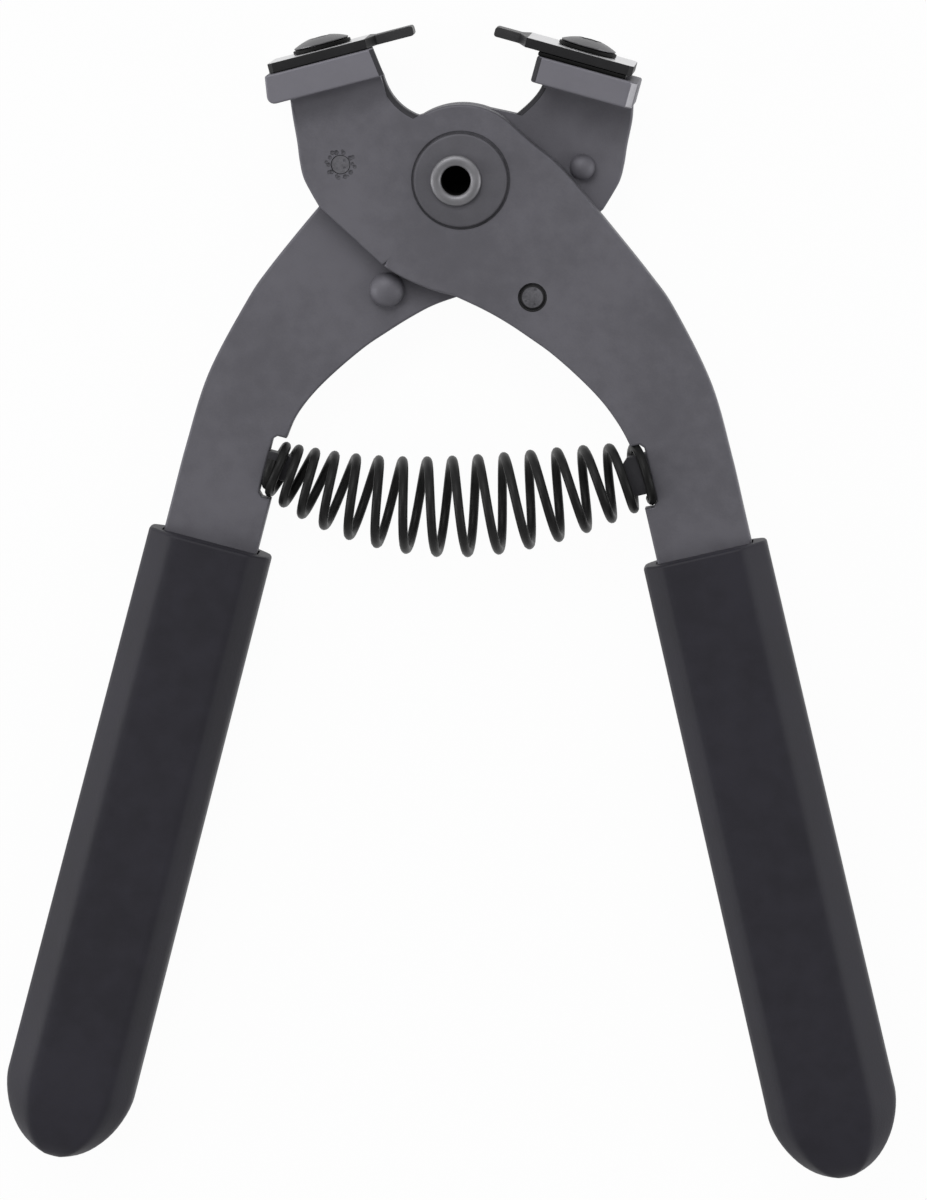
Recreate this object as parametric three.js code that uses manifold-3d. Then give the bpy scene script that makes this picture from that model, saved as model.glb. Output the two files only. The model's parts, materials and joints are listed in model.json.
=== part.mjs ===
// Crossed-lever hand tool with a blade on each jaw, lying flat: jaws towards +Y, front face up, millimetres.
// Each lever is drawn as the front one, its pivot at the origin and its jaw at -X.
// The back lever is the same lever turned over about Y, so its jaw is at +X.
import * as THREE from 'three';
import { mergeVertices } from 'three/addons/utils/BufferGeometryUtils.js';
import Module from 'manifold-3d';

const wasm = await Module();
wasm.setup();

// Lever plates
const plateThickness = 4.7;
const plateGap = 0.3;
const hubRadius = 13.8;
const hubThroatAngle = 124;
const hubShoulderAngle = 53;

// Handles: the top of the grip lies this far out from the pivot and this far below it
const gripTopOut = 44.7;
const gripTopDrop = 66.3;
const handleTilt = 13.8;
const tangWidth = 17.3;
const tangLength = 92;
const handleOuterShares = [
  [0.284, 0.103],
  [0.392, 0.044],
  [0.555, -0.08],
  [0.766, -0.251],
  [0.868, -0.348],
  [1.016, -0.543],
  [1.103, -0.738],
];
const handleInnerShares = [
  [0.097, -0.35],
  [0.195, -0.386],
  [0.289, -0.427],
  [0.378, -0.469],
  [0.49, -0.534],
  [0.582, -0.597],
  [0.653, -0.662],
];
const handleStraightShare = 0.09;

// Jaws: the blade screw stands this far out from the pivot, on a seat this far above it
const jawOut = 24.5;
const jawRise = 20.8;
const seatTilt = 16;
const jawInnerReach = 9.3;
const jawOuterReach = 8.1;
const jawOuterShares = [
  [1.237, 0.514],
  [1.204, 0.308],
  [1.184, 0.144],
  [1.155, 0],
  [1.098, -0.13],
  [1.037, -0.25],
];
const throatShare = 0.41;

// Jaw pads
const padThickness = 4.8;
const padDepth = 20;
const padCornerRadius = 1.2;
const outerFilletDepthShare = 0.98;
const outerFilletHeight = 6;
const innerFillet = 1;

// Stop slot in the lower edge of the hub, an arc about the pivot
const stopArcRadius = 20.8;
const stopArcStart = 228;
const stopArcEnd = 267;

// Stop pins: the handle's pin runs just outside the stop arc, the jaw's pin just clears the other handle's edge
const pinClearance = 0.3;
const stopClearance = 0.3;
const jawStopClearance = 0.45;
const pinEndRecess = 0.25;
const pinEndChamfer = 0.4;
const handlePin = { head: 6.2, headHeight: 3.1, shank: 4.4 };
const handlePinAngle = 303.2;
const jawPin = { head: 4.6, headHeight: 2.4, shank: 3.2 };
const jawPinEdgeIndex = 1;
const jawPinShare = 0.28;
const pinRimShare = 0.35;

// Pivot
const rivetShank = 7;
const rivetBore = 5.4;
const rivetBoreDepth = 9;
const rivetRim = 8.8;
const rivetRimHeight = 1.1;
const rivetHead = 12;
const rivetHeadHeight = 2;
const rivetHeadRimShare = 0.3;
const washerDiameter = 17.3;
const washerThickness = 0.8;
const seatGap = 0.1;

// Blades: widths are along the pivot axis
const bladeThickness = 1.7;
const bladeWidth = 18.8;
const noseWidth = 6;
const noseShoulder = 1.5;
const noseTipBevel = 0.5;
const bladeSideChamfer = 0.8;

// Blade screws and their washers
const screwShank = 6;
const screwHead = 10.2;
const screwHeadRim = 0.3;
const screwHeadHeight = 1.7;
const screwSocket = 4;
const screwSocketDepth = 1.1;
const socketSides = 6;
const screwClearance = 0.3;
const screwHoleDepth = 4.1;
const screwWasherDiameter = 10.6;
const screwWasherThickness = 0.6;

// Return spring between the handles, and the notch and tab that hold each end
const springWire = 1.7;
const springEndDiameter = 11.2;
const springMiddleDiameter = 18;
const springTurns = 16;
const springSag = 5.9;
const springEndPitchShare = 0.5;
const springEndGap = 0.3;
const springSideGap = 0.5;
const tangentShare = 0.001;
const notchRise = 16.2;
const notchDepth = 2;
const tabWidth = 5;
const tabLength = 5;
const curlSteps = 8;
const curlSides = 5;

// Grips
const gripTopWidth = 22.7;
const gripWidth = 23.5;
const gripThickness = 15;
const gripLength = 116.2;
const gripTipRise = 13.5;
const gripTipPower = 1.2;
const gripSlide = -0.1;
const gripTipSteps = 14;
const gripEdgeRadius = 4.2;
const gripBoreClearance = 0.3;
const gripBevelSteps = 3;

// Where the two levers differ. Pad and blade reaches run outwards from the point above the screw seat.
const frontSide = {
  padInner: -9.3,
  padOuter: 11.2,
  bladeTip: -17.15,
  bladeShoulder: -8.7,
  bladeOuter: 10.7,
  screwPlace: 0,
};
const backSide = {
  padInner: -10.8,
  padOuter: 8.1,
  bladeTip: -20.05,
  bladeShoulder: -14.7,
  bladeOuter: 6.8,
  screwPlace: -2.2,
};

// Shared working values
const fullTurn = 360;
const overrun = 1;
const curveSteps = 5;
const roundSteps = 32;
const pinSteps = 20;
const plateMiddle = (plateGap + plateThickness) / 2;
const plateOuterFace = plateGap / 2 + plateThickness;

const steel = { color: 0x58585e, roughness: 0.55, metalness: 0.7 };
const darkSteel = { color: 0x232326, roughness: 0.5, metalness: 0.7 };
const brightSteel = { color: 0x6e6e74, roughness: 0.45, metalness: 0.8 };
const vinyl = { color: 0x303034, roughness: 0.7, metalness: 0 };

// Turns a closed geometry into a solid for joining and cutting, without its triangles of no area.
function solidOf(geometry) {
  const bare = geometry.clone();
  bare.deleteAttribute('normal');
  bare.deleteAttribute('uv');
  const merged = mergeVertices(bare);
  const index = merged.index.array;
  const kept = [];
  for (let i = 0; i < index.length; i += 3) {
    const [a, b, c] = index.slice(i, i + 3);
    if (a !== b && b !== c && c !== a) {
      kept.push(a, b, c);
    }
  }
  return new wasm.Manifold(new wasm.Mesh({
    numProp: 3,
    vertProperties: new Float32Array(merged.attributes.position.array),
    triVerts: new Uint32Array(kept),
  }));
}

// Turns a solid back into a geometry.
function geometryOf(solid) {
  const mesh = solid.getMesh();
  const geometry = new THREE.BufferGeometry();
  geometry.setAttribute('position', new THREE.BufferAttribute(mesh.vertProperties, mesh.numProp));
  geometry.setIndex(new THREE.BufferAttribute(mesh.triVerts, 1));
  geometry.computeVertexNormals();
  return geometry;
}

function radians(degrees) {
  return THREE.MathUtils.degToRad(degrees);
}

// A point at a radius and angle about the pivot.
function polar(radius, degrees) {
  return new THREE.Vector2(radius * Math.cos(radians(degrees)), radius * Math.sin(radians(degrees)));
}

// A point in the handle's frame: across is outwards, along is up the handle, from the top of the grip.
function handlePoint(across, along) {
  const turned = new THREE.Vector2(across, along).rotateAround(new THREE.Vector2(), radians(handleTilt));
  return turned.add(new THREE.Vector2(gripTopOut, -gripTopDrop));
}

// A point in the jaw seat's frame: out is away from the other jaw, up is away from the pad.
function seatPoint(out, up) {
  const turned = new THREE.Vector2(-out, up).rotateAround(new THREE.Vector2(), radians(seatTilt));
  return turned.add(new THREE.Vector2(-jawOut, jawRise));
}

function scaled(shares, width, height) {
  return shares.map(([x, y]) => new THREE.Vector2(x * width, y * height));
}

function moveTo(shape, point) {
  shape.moveTo(point.x, point.y);
}

function lineTo(shape, point) {
  shape.lineTo(point.x, point.y);
}

// A round hole whose flats, not its corners, lie at the radius.
function circlePath(centre, radius) {
  const corner = radius / Math.cos(Math.PI / pinSteps);
  const points = [];
  for (let i = 0; i < pinSteps; i += 1) {
    points.push(polar(corner, (fullTurn * i) / pinSteps).add(centre));
  }
  return new THREE.Path(points);
}

// The handle's pin, outside the stop arc.
function handlePinPlace() {
  return polar(stopArcRadius + stopClearance + handlePin.head / 2, handlePinAngle);
}

// The jaw's pin, off the outer edge of the other lever's handle.
function jawPinPlace() {
  const edge = scaled(handleOuterShares, -gripTopOut, gripTopDrop);
  const start = edge[jawPinEdgeIndex];
  const along = edge[jawPinEdgeIndex + 1].clone().sub(start);
  const foot = start.clone().addScaledVector(along, jawPinShare);
  const away = new THREE.Vector2(along.y, -along.x).normalize();
  return foot.addScaledVector(away, jawPin.head / 2 + jawStopClearance);
}

// Outline of the plate seen from the front, starting where the jaw's inner edge meets the pad.
function plateShape() {
  const half = tangWidth / 2;
  const notchHalf = springEndDiameter / 2 + springSideGap;
  const shape = new THREE.Shape();
  const throat = polar(hubRadius, hubThroatAngle);
  const innerCorner = seatPoint(-jawInnerReach, -padThickness);
  const throatControl = seatPoint(-jawInnerReach, -padThickness - throatShare * hubRadius);
  moveTo(shape, seatPoint(-jawInnerReach, -padThickness / 2));
  lineTo(shape, innerCorner);
  shape.quadraticCurveTo(throatControl.x, throatControl.y, throat.x, throat.y);
  shape.absarc(0, 0, hubRadius, radians(hubThroatAngle), radians(hubShoulderAngle), true);
  shape.splineThru([
    ...scaled(handleOuterShares, gripTopOut, gripTopDrop),
    handlePoint(half, handleStraightShare * gripTopDrop),
  ]);
  lineTo(shape, handlePoint(half, -tangLength + half));
  const tangEnd = handlePoint(0, -tangLength + half);
  shape.absarc(tangEnd.x, tangEnd.y, half, radians(handleTilt), radians(handleTilt - 180), true);
  lineTo(shape, handlePoint(-half, notchRise - notchHalf));
  lineTo(shape, handlePoint(-half + notchDepth, notchRise - notchHalf));
  lineTo(shape, handlePoint(-half + notchDepth, notchRise + notchHalf));
  lineTo(shape, handlePoint(-half, notchRise + notchHalf));
  shape.splineThru([
    ...scaled(handleInnerShares, gripTopOut, gripTopDrop).reverse(),
    polar(stopArcRadius, stopArcEnd),
  ]);
  shape.absarc(0, 0, stopArcRadius, radians(stopArcEnd), radians(stopArcStart), true);
  const jawOuter = scaled(jawOuterShares, -jawOut, jawRise).reverse();
  lineTo(shape, jawOuter[0]);
  shape.splineThru([...jawOuter.slice(1), seatPoint(jawOuterReach, -padThickness)]);
  lineTo(shape, seatPoint(jawOuterReach, -padThickness / 2));
  shape.holes.push(circlePath(new THREE.Vector2(), (rivetShank + pinClearance) / 2));
  shape.holes.push(circlePath(handlePinPlace(), (handlePin.shank + pinClearance) / 2));
  shape.holes.push(circlePath(jawPinPlace(), (jawPin.shank + pinClearance) / 2));
  return shape;
}

// The tab on the notch floor that the spring slips over.
function springTab() {
  const root = -tangWidth / 2 + notchDepth;
  const half = tabWidth / 2;
  const shape = new THREE.Shape();
  moveTo(shape, handlePoint(root + overrun, notchRise - half));
  lineTo(shape, handlePoint(root + overrun, notchRise + half));
  lineTo(shape, handlePoint(root - tabLength + half / 2, notchRise + half));
  lineTo(shape, handlePoint(root - tabLength, notchRise + half / 2));
  lineTo(shape, handlePoint(root - tabLength, notchRise - half / 2));
  lineTo(shape, handlePoint(root - tabLength + half / 2, notchRise - half));
  shape.closePath();
  return extrudeFrom(shape, plateGap / 2, plateThickness);
}

// Extrudes a shape along +Z from a height.
function extrudeFrom(shape, start, depth) {
  const geometry = new THREE.ExtrudeGeometry(shape, { depth, bevelEnabled: false, curveSegments: curveSteps });
  return geometry.translate(0, 0, start);
}

// Rectangle between two corners of the seat frame, with its corners rounded.
function seatRectangle(inner, outer, low, high, radius) {
  const shape = new THREE.Shape();
  const corners = [[inner, low], [outer, low], [outer, high], [inner, high]];
  corners.forEach(([out, up], i) => {
    const [previousOut, previousUp] = corners[(i + 3) % 4];
    const [nextOut, nextUp] = corners[(i + 1) % 4];
    const start = seatPoint(
      out + Math.sign(previousOut - out) * radius,
      up + Math.sign(previousUp - up) * radius,
    );
    const corner = seatPoint(out, up);
    const end = seatPoint(out + Math.sign(nextOut - out) * radius, up + Math.sign(nextUp - up) * radius);
    if (i === 0) {
      moveTo(shape, start);
    } else {
      lineTo(shape, start);
    }
    shape.quadraticCurveTo(corner.x, corner.y, end.x, end.y);
  });
  shape.closePath();
  return shape;
}

// Hollow fillet under the pad: a wedge with a concave face, standing on a plate face at a height.
function filletUnderPad(side, faceHeight, depth, height) {
  const section = new THREE.Shape();
  section.moveTo(0, overrun);
  section.lineTo(0, -height);
  section.quadraticCurveTo(0, 0, depth, 0);
  section.lineTo(depth, overrun);
  section.closePath();
  const inner = -jawInnerReach;
  const outer = Math.min(jawOuterReach, side.padOuter - padCornerRadius);
  const wedge = new THREE.ExtrudeGeometry(section, {
    depth: outer - inner,
    bevelEnabled: false,
    curveSegments: curveSteps,
  });
  const place = seatPoint(inner, -padThickness);
  const alongSeat = seatPoint(1, 0).sub(seatPoint(0, 0));
  const upSeat = seatPoint(0, 1).sub(seatPoint(0, 0));
  const outwards = new THREE.Vector3(0, 0, Math.sign(faceHeight - plateMiddle));
  const basis = new THREE.Matrix4().makeBasis(
    outwards,
    new THREE.Vector3(upSeat.x, upSeat.y, 0),
    new THREE.Vector3(alongSeat.x, alongSeat.y, 0),
  );
  basis.setPosition(place.x, place.y, faceHeight);
  wedge.applyMatrix4(basis);
  return basis.determinant() < 0 ? flipped(wedge) : wedge;
}

// Reverses a geometry's triangles after a mirroring move.
function flipped(geometry) {
  const plain = geometry.index ? geometry.toNonIndexed() : geometry;
  const position = plain.attributes.position;
  const array = position.array.slice();
  for (let i = 0; i < array.length; i += 9) {
    const second = array.slice(i + 3, i + 6);
    array.copyWithin(i + 3, i + 6, i + 9);
    array.set(second, i + 6);
  }
  plain.setAttribute('position', new THREE.BufferAttribute(array, 3));
  return plain;
}

// A turned solid on an axis: the profile is [radius, height] pairs, heights along +Z.
function turned(profile, steps) {
  const points = profile.map(([radius, height]) => new THREE.Vector2(radius, height));
  return new THREE.LatheGeometry(points, steps).rotateX(Math.PI / 2);
}

// Places a turned solid on the seat, its axis along the seat's normal.
function onSeat(geometry, out, up) {
  const place = seatPoint(out, up);
  return geometry
    .rotateX(-Math.PI / 2)
    .rotateZ(radians(seatTilt))
    .translate(place.x, place.y, 0);
}

function leverGeometry(side) {
  const padStart = -padDepth / 2;
  const padShape = seatRectangle(side.padInner, side.padOuter, -padThickness, 0, padCornerRadius);
  const outerDepth = (padDepth / 2 - plateOuterFace) * outerFilletDepthShare;
  const hole = turned([
    [0, -screwHoleDepth],
    [(screwShank + screwClearance) / 2, -screwHoleDepth],
    [(screwShank + screwClearance) / 2, overrun],
    [0, overrun],
  ], pinSteps);
  const solid = solidOf(extrudeFrom(plateShape(), plateGap / 2, plateThickness))
    .add(solidOf(springTab()))
    .add(solidOf(extrudeFrom(padShape, padStart, padDepth)))
    .add(solidOf(filletUnderPad(side, plateOuterFace, outerDepth, outerFilletHeight)))
    .add(solidOf(filletUnderPad(side, plateGap / 2, innerFillet, innerFillet)))
    .subtract(solidOf(onSeat(hole, side.screwPlace, 0)));
  return geometryOf(solid);
}

// A stop pin: domed head on the lever's inner face, shank through the plate.
function pinGeometry(pin, place) {
  const headStart = plateGap / 2 - seatGap;
  const rim = headStart - pin.headHeight * pinRimShare;
  const end = plateOuterFace - pinEndRecess;
  const profile = [[0, headStart - pin.headHeight]];
  for (let i = 1; i <= curveSteps; i += 1) {
    const angle = (i / curveSteps) * (Math.PI / 2);
    profile.push([
      (pin.head / 2) * Math.sin(angle),
      rim - pin.headHeight * (1 - pinRimShare) * Math.cos(angle),
    ]);
  }
  profile.push([pin.head / 2, headStart]);
  profile.push([pin.shank / 2, headStart]);
  profile.push([pin.shank / 2, end - pinEndChamfer]);
  profile.push([pin.shank / 2 - pinEndChamfer, end]);
  profile.push([0, end]);
  return turned(profile, pinSteps).translate(place.x, place.y, 0);
}

// Plan of the blade: a wide body and a narrow nose, chamfered at its outer corners.
function bladeGeometry(side) {
  const half = bladeWidth / 2;
  const nose = noseWidth / 2;
  const bodyShape = new THREE.Shape();
  bodyShape.moveTo(side.bladeOuter, -half + bladeSideChamfer);
  bodyShape.lineTo(side.bladeOuter, half - bladeSideChamfer);
  bodyShape.lineTo(side.bladeOuter - bladeSideChamfer, half);
  bodyShape.lineTo(side.bladeShoulder, half);
  bodyShape.lineTo(side.bladeShoulder - noseShoulder, nose);
  bodyShape.lineTo(side.bladeShoulder - noseShoulder, -nose);
  bodyShape.lineTo(side.bladeShoulder, -half);
  bodyShape.lineTo(side.bladeOuter - bladeSideChamfer, -half);
  bodyShape.closePath();
  bodyShape.holes.push(circlePath(new THREE.Vector2(side.screwPlace, 0), (screwShank + screwClearance) / 2));
  const body = extrudeFrom(bodyShape, 0, bladeThickness).rotateX(-Math.PI / 2);
  const noseShape = new THREE.Shape();
  noseShape.moveTo(side.bladeShoulder - noseShoulder / 2, 0);
  noseShape.lineTo(side.bladeShoulder - noseShoulder / 2, bladeThickness);
  noseShape.lineTo(side.bladeTip + noseTipBevel, bladeThickness);
  noseShape.lineTo(side.bladeTip, bladeThickness - noseTipBevel);
  noseShape.lineTo(side.bladeTip, noseTipBevel);
  noseShape.lineTo(side.bladeTip + noseTipBevel, 0);
  noseShape.closePath();
  const noseSolid = solidOf(extrudeFrom(noseShape, -nose, noseWidth));
  const place = seatPoint(0, seatGap);
  return geometryOf(solidOf(body).add(noseSolid))
    .rotateY(Math.PI)
    .rotateZ(radians(seatTilt))
    .translate(place.x, place.y, 0);
}

function screwWasherGeometry(side) {
  const bottom = seatGap + bladeThickness + seatGap;
  const hole = (screwShank + screwClearance) / 2;
  const profile = [
    [hole, bottom],
    [screwWasherDiameter / 2, bottom],
    [screwWasherDiameter / 2, bottom + screwWasherThickness],
    [hole, bottom + screwWasherThickness],
    [hole, bottom],
  ];
  return onSeat(turned(profile, roundSteps), side.screwPlace, 0);
}

// Dome-head screw with a six-sided socket.
function screwGeometry(side) {
  const headBase = seatGap + bladeThickness + seatGap + screwWasherThickness + seatGap;
  const tip = -screwHoleDepth + screwClearance;
  const profile = [
    [0, tip],
    [screwShank / 2, tip],
    [screwShank / 2, headBase],
    [screwHead / 2, headBase],
  ];
  for (let i = 0; i <= curveSteps; i += 1) {
    const angle = (i / curveSteps) * (Math.PI / 2);
    profile.push([
      (screwHead / 2) * Math.cos(angle),
      headBase + screwHeadRim + (screwHeadHeight - screwHeadRim) * Math.sin(angle),
    ]);
  }
  profile[profile.length - 1][0] = 0;
  const top = headBase + screwHeadHeight;
  const socketRadius = screwSocket / 2 / Math.cos(Math.PI / socketSides);
  const socket = new THREE.CylinderGeometry(socketRadius, socketRadius, screwSocketDepth + overrun, socketSides)
    .rotateX(Math.PI / 2)
    .translate(0, 0, top + (overrun - screwSocketDepth) / 2);
  const screw = geometryOf(solidOf(turned(profile, roundSteps)).subtract(solidOf(socket)));
  return onSeat(screw, side.screwPlace, 0);
}

// Sleeve outline in the handle's frame, from above its open end down to the rounded tip.
function gripShape() {
  const half = gripWidth / 2;
  const topHalf = gripTopWidth / 2;
  const tipStart = gripSlide - gripLength + gripTipRise;
  const shape = new THREE.Shape();
  shape.moveTo(topHalf, gripSlide + gripEdgeRadius + overrun);
  shape.lineTo(-topHalf, gripSlide + gripEdgeRadius + overrun);
  for (let i = 0; i <= gripTipSteps; i += 1) {
    const angle = Math.PI * (1 - i / gripTipSteps);
    const drop = gripTipRise * Math.abs(Math.sin(angle)) ** gripTipPower;
    shape.lineTo(half * Math.cos(angle), tipStart - drop);
  }
  shape.closePath();
  return shape;
}

function gripGeometry() {
  const body = new THREE.ExtrudeGeometry(gripShape(), {
    depth: gripThickness - 2 * gripEdgeRadius,
    curveSegments: curveSteps,
    bevelEnabled: true,
    bevelThickness: gripEdgeRadius,
    bevelSize: gripEdgeRadius,
    bevelOffset: -gripEdgeRadius,
    bevelSegments: gripBevelSteps,
  }).translate(0, 0, plateMiddle - gripThickness / 2 + gripEdgeRadius);
  const above = 2 * (gripEdgeRadius + overrun);
  const opening = new THREE.BoxGeometry(gripWidth + overrun, above, gripThickness + overrun)
    .translate(0, gripSlide + above / 2, plateMiddle);
  const boreHalf = tangWidth / 2 + gripBoreClearance;
  const boreShape = new THREE.Shape();
  boreShape.moveTo(boreHalf, gripSlide + overrun);
  boreShape.lineTo(boreHalf, -tangLength + tangWidth / 2);
  boreShape.absarc(0, -tangLength + tangWidth / 2, boreHalf, 0, -Math.PI, true);
  boreShape.lineTo(-boreHalf, gripSlide + overrun);
  boreShape.closePath();
  const boreDepth = plateThickness + 2 * gripBoreClearance;
  const bore = extrudeFrom(boreShape, plateMiddle - boreDepth / 2, boreDepth);
  const place = handlePoint(0, 0);
  return geometryOf(solidOf(body).subtract(solidOf(opening)).subtract(solidOf(bore)))
    .rotateZ(radians(handleTilt))
    .translate(place.x, place.y, 0);
}

// Pivot rivet: solid dome at the back, rolled rim round a blind bore at the front.
function rivetGeometry() {
  const washerOuter = plateOuterFace + 2 * seatGap + washerThickness;
  const front = washerOuter + rivetRimHeight;
  const rimMiddle = (rivetRim + rivetBore) / 4;
  const rimHalf = (rivetRim - rivetBore) / 4;
  const profile = [
    [0, front - rivetBoreDepth],
    [rivetBore / 2, front - rivetBoreDepth],
    [rivetBore / 2, washerOuter],
  ];
  for (let i = 0; i <= curveSteps; i += 1) {
    const angle = Math.PI * (1 - i / curveSteps);
    profile.push([
      rimMiddle + rimHalf * Math.cos(angle),
      washerOuter + rivetRimHeight * (1 / 2 + Math.sin(angle) / 2),
    ]);
  }
  profile.push([rivetRim / 2, washerOuter]);
  profile.push([rivetShank / 2, washerOuter]);
  profile.push([rivetShank / 2, -washerOuter]);
  profile.push([rivetHead / 2, -washerOuter]);
  for (let i = 0; i < curveSteps; i += 1) {
    const angle = (i / curveSteps) * (Math.PI / 2);
    const rise = rivetHeadRimShare + (1 - rivetHeadRimShare) * Math.sin(angle);
    profile.push([(rivetHead / 2) * Math.cos(angle), -washerOuter - rivetHeadHeight * rise]);
  }
  profile.push([0, -washerOuter - rivetHeadHeight]);
  return turned(profile.reverse(), roundSteps);
}

function pivotWasherGeometry() {
  const bottom = plateOuterFace + seatGap;
  const hole = (rivetShank + pinClearance) / 2;
  return turned([
    [hole, bottom],
    [washerDiameter / 2, bottom],
    [washerDiameter / 2, bottom + washerThickness],
    [hole, bottom + washerThickness],
    [hole, bottom],
  ], roundSteps);
}

// The spring's bowed centre line: t runs from -1 at the back lever's notch to 1 at the front lever's.
function springAxis(t) {
  const seat = handlePoint(-tangWidth / 2 + notchDepth - springEndGap, notchRise);
  const squareSag = (seat.x * Math.tan(radians(handleTilt))) / 2;
  const rest = 1 - t * t;
  return new THREE.Vector3(
    seat.x * t,
    seat.y - squareSag * rest - (springSag - squareSag) * rest * rest,
    plateMiddle * Math.sin((t * Math.PI) / 2),
  );
}

// A point on the wire's centre line: share runs from 0 to 1 over all the turns.
function wirePoint(share) {
  const seat = handlePoint(-tangWidth / 2 + notchDepth - springEndGap, notchRise);
  const straight = springWire / seat.x;
  const even = 2 / Math.PI;
  const spread = springEndPitchShare * share
    + (1 - springEndPitchShare) * (1 - Math.cos(Math.PI * share)) / Math.PI;
  const t = (1 - straight) * (2 * spread / (springEndPitchShare + (1 - springEndPitchShare) * even) - 1);
  const centre = springAxis(t);
  const tangent = springAxis(t + tangentShare).sub(springAxis(t - tangentShare)).normalize();
  const deep = new THREE.Vector3(0, 0, 1);
  const inPlane = new THREE.Vector3().crossVectors(deep, tangent).normalize();
  const through = new THREE.Vector3().crossVectors(tangent, inPlane);
  const endRadius = (springEndDiameter - springWire) / 2;
  const middleRadius = (springMiddleDiameter - springWire) / 2;
  const radius = endRadius + (middleRadius - endRadius) * Math.cos((t * Math.PI) / 2);
  const angle = 2 * Math.PI * springTurns * share;
  return centre
    .addScaledVector(inPlane, radius * Math.cos(angle))
    .addScaledVector(through, radius * Math.sin(angle));
}

// The wire's points: a straight run square to each notch floor, and the turns between them.
function springPoints(stepsPerTurn) {
  const steps = springTurns * stepsPerTurn;
  const points = [];
  for (let i = 0; i <= steps; i += 1) {
    points.push(wirePoint(i / steps));
  }
  const outwards = handlePoint(1, 0).sub(handlePoint(0, 0));
  const run = new THREE.Vector3(outwards.x, outwards.y, 0).multiplyScalar(springWire);
  const mirrored = new THREE.Vector3(-run.x, run.y, 0);
  points.unshift(points[0].clone().add(mirrored));
  points.push(points[points.length - 1].clone().add(run));
  return points;
}

// Closed tube along a list of points.
function tubeGeometry(points, radius, sides) {
  const positions = [];
  const index = [];
  const last = points.length - 1;
  const tangentAt = (i) => points[Math.min(i + 1, last)].clone().sub(points[Math.max(i - 1, 0)]).normalize();
  const side = new THREE.Vector3().crossVectors(tangentAt(0), new THREE.Vector3(0, 0, 1)).normalize();
  for (let i = 0; i <= last; i += 1) {
    const tangent = tangentAt(i);
    side.addScaledVector(tangent, -side.dot(tangent)).normalize();
    const other = new THREE.Vector3().crossVectors(tangent, side);
    for (let k = 0; k < sides; k += 1) {
      const angle = (2 * Math.PI * k) / sides;
      const point = points[i].clone()
        .addScaledVector(side, radius * Math.cos(angle))
        .addScaledVector(other, radius * Math.sin(angle));
      positions.push(point.x, point.y, point.z);
    }
  }
  for (let i = 0; i < last; i += 1) {
    for (let k = 0; k < sides; k += 1) {
      const a = i * sides + k;
      const b = i * sides + ((k + 1) % sides);
      index.push(a, b, b + sides, a, b + sides, a + sides);
    }
  }
  for (let k = 1; k < sides - 1; k += 1) {
    index.push(0, k + 1, k);
    index.push(last * sides, last * sides + k, last * sides + k + 1);
  }
  const geometry = new THREE.BufferGeometry();
  geometry.setAttribute('position', new THREE.Float32BufferAttribute(positions, 3));
  geometry.setIndex(index);
  geometry.computeVertexNormals();
  return geometry;
}

// Least distance between points of the wire at least half a turn apart, less the wire's diameter.
function springGap() {
  const fine = 4 * curlSteps;
  const points = springPoints(fine);
  const apart = Math.round(fine / 2);
  let least = Infinity;
  for (let i = 0; i < points.length; i += 1) {
    for (let j = i + apart; j < points.length; j += 1) {
      least = Math.min(least, points[i].distanceTo(points[j]));
    }
  }
  return least - springWire;
}

function mesh(name, geometry, finish) {
  const made = new THREE.Mesh(geometry, new THREE.MeshStandardMaterial(finish));
  made.name = name;
  return made;
}

// One lever with all that is fixed to it.
function leverGroup(side, leverName, jawName, handleName) {
  const group = new THREE.Group();
  group.add(mesh(`${leverName}_lever`, leverGeometry(side), steel));
  group.add(mesh(`${jawName}_blade`, bladeGeometry(side), darkSteel));
  group.add(mesh(`${jawName}_screw_washer`, screwWasherGeometry(side), darkSteel));
  group.add(mesh(`${jawName}_blade_screw`, screwGeometry(side), brightSteel));
  group.add(mesh(`${handleName}_grip`, gripGeometry(), vinyl));
  group.add(mesh(`${leverName}_handle_stop_pin`, pinGeometry(handlePin, handlePinPlace()), steel));
  group.add(mesh(`${leverName}_jaw_stop_pin`, pinGeometry(jawPin, jawPinPlace()), steel));
  group.add(mesh(`${leverName}_pivot_washer`, pivotWasherGeometry(), steel));
  return group;
}

const tool = new THREE.Group();
const backGroup = leverGroup(backSide, 'back', 'right', 'left');
backGroup.rotation.y = Math.PI;
tool.add(leverGroup(frontSide, 'front', 'left', 'right'));
tool.add(backGroup);
tool.add(mesh('pivot_rivet', rivetGeometry(), brightSteel));
tool.add(mesh('return_spring', tubeGeometry(springPoints(curlSteps), springWire / 2, curlSides), darkSteel));
console.log(`least gap between the spring's turns: ${springGap().toFixed(2)} mm`);

// The origin is under the middle of the tool's outer box, on the surface that it lies on.
tool.updateMatrixWorld(true);
const box = new THREE.Box3().setFromObject(tool, true);
tool.position.set(-(box.min.x + box.max.x) / 2, -(box.min.y + box.max.y) / 2, -box.min.z);
tool.updateMatrixWorld(true);
const pivot = tool.position.toArray().map((value) => value.toFixed(3)).join(', ');
console.log(`pivot at ${pivot} mm`);

export default tool;
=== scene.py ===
"""Crossed-lever hand tool: forged levers with bolted blades, a bowed return spring and slip-on grips."""

import json
import logging
import math
from collections.abc import Callable, Iterable, Sequence
from dataclasses import dataclass, replace
from enum import Enum

import bmesh
import bpy
from mathutils import Matrix, Vector


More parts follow.
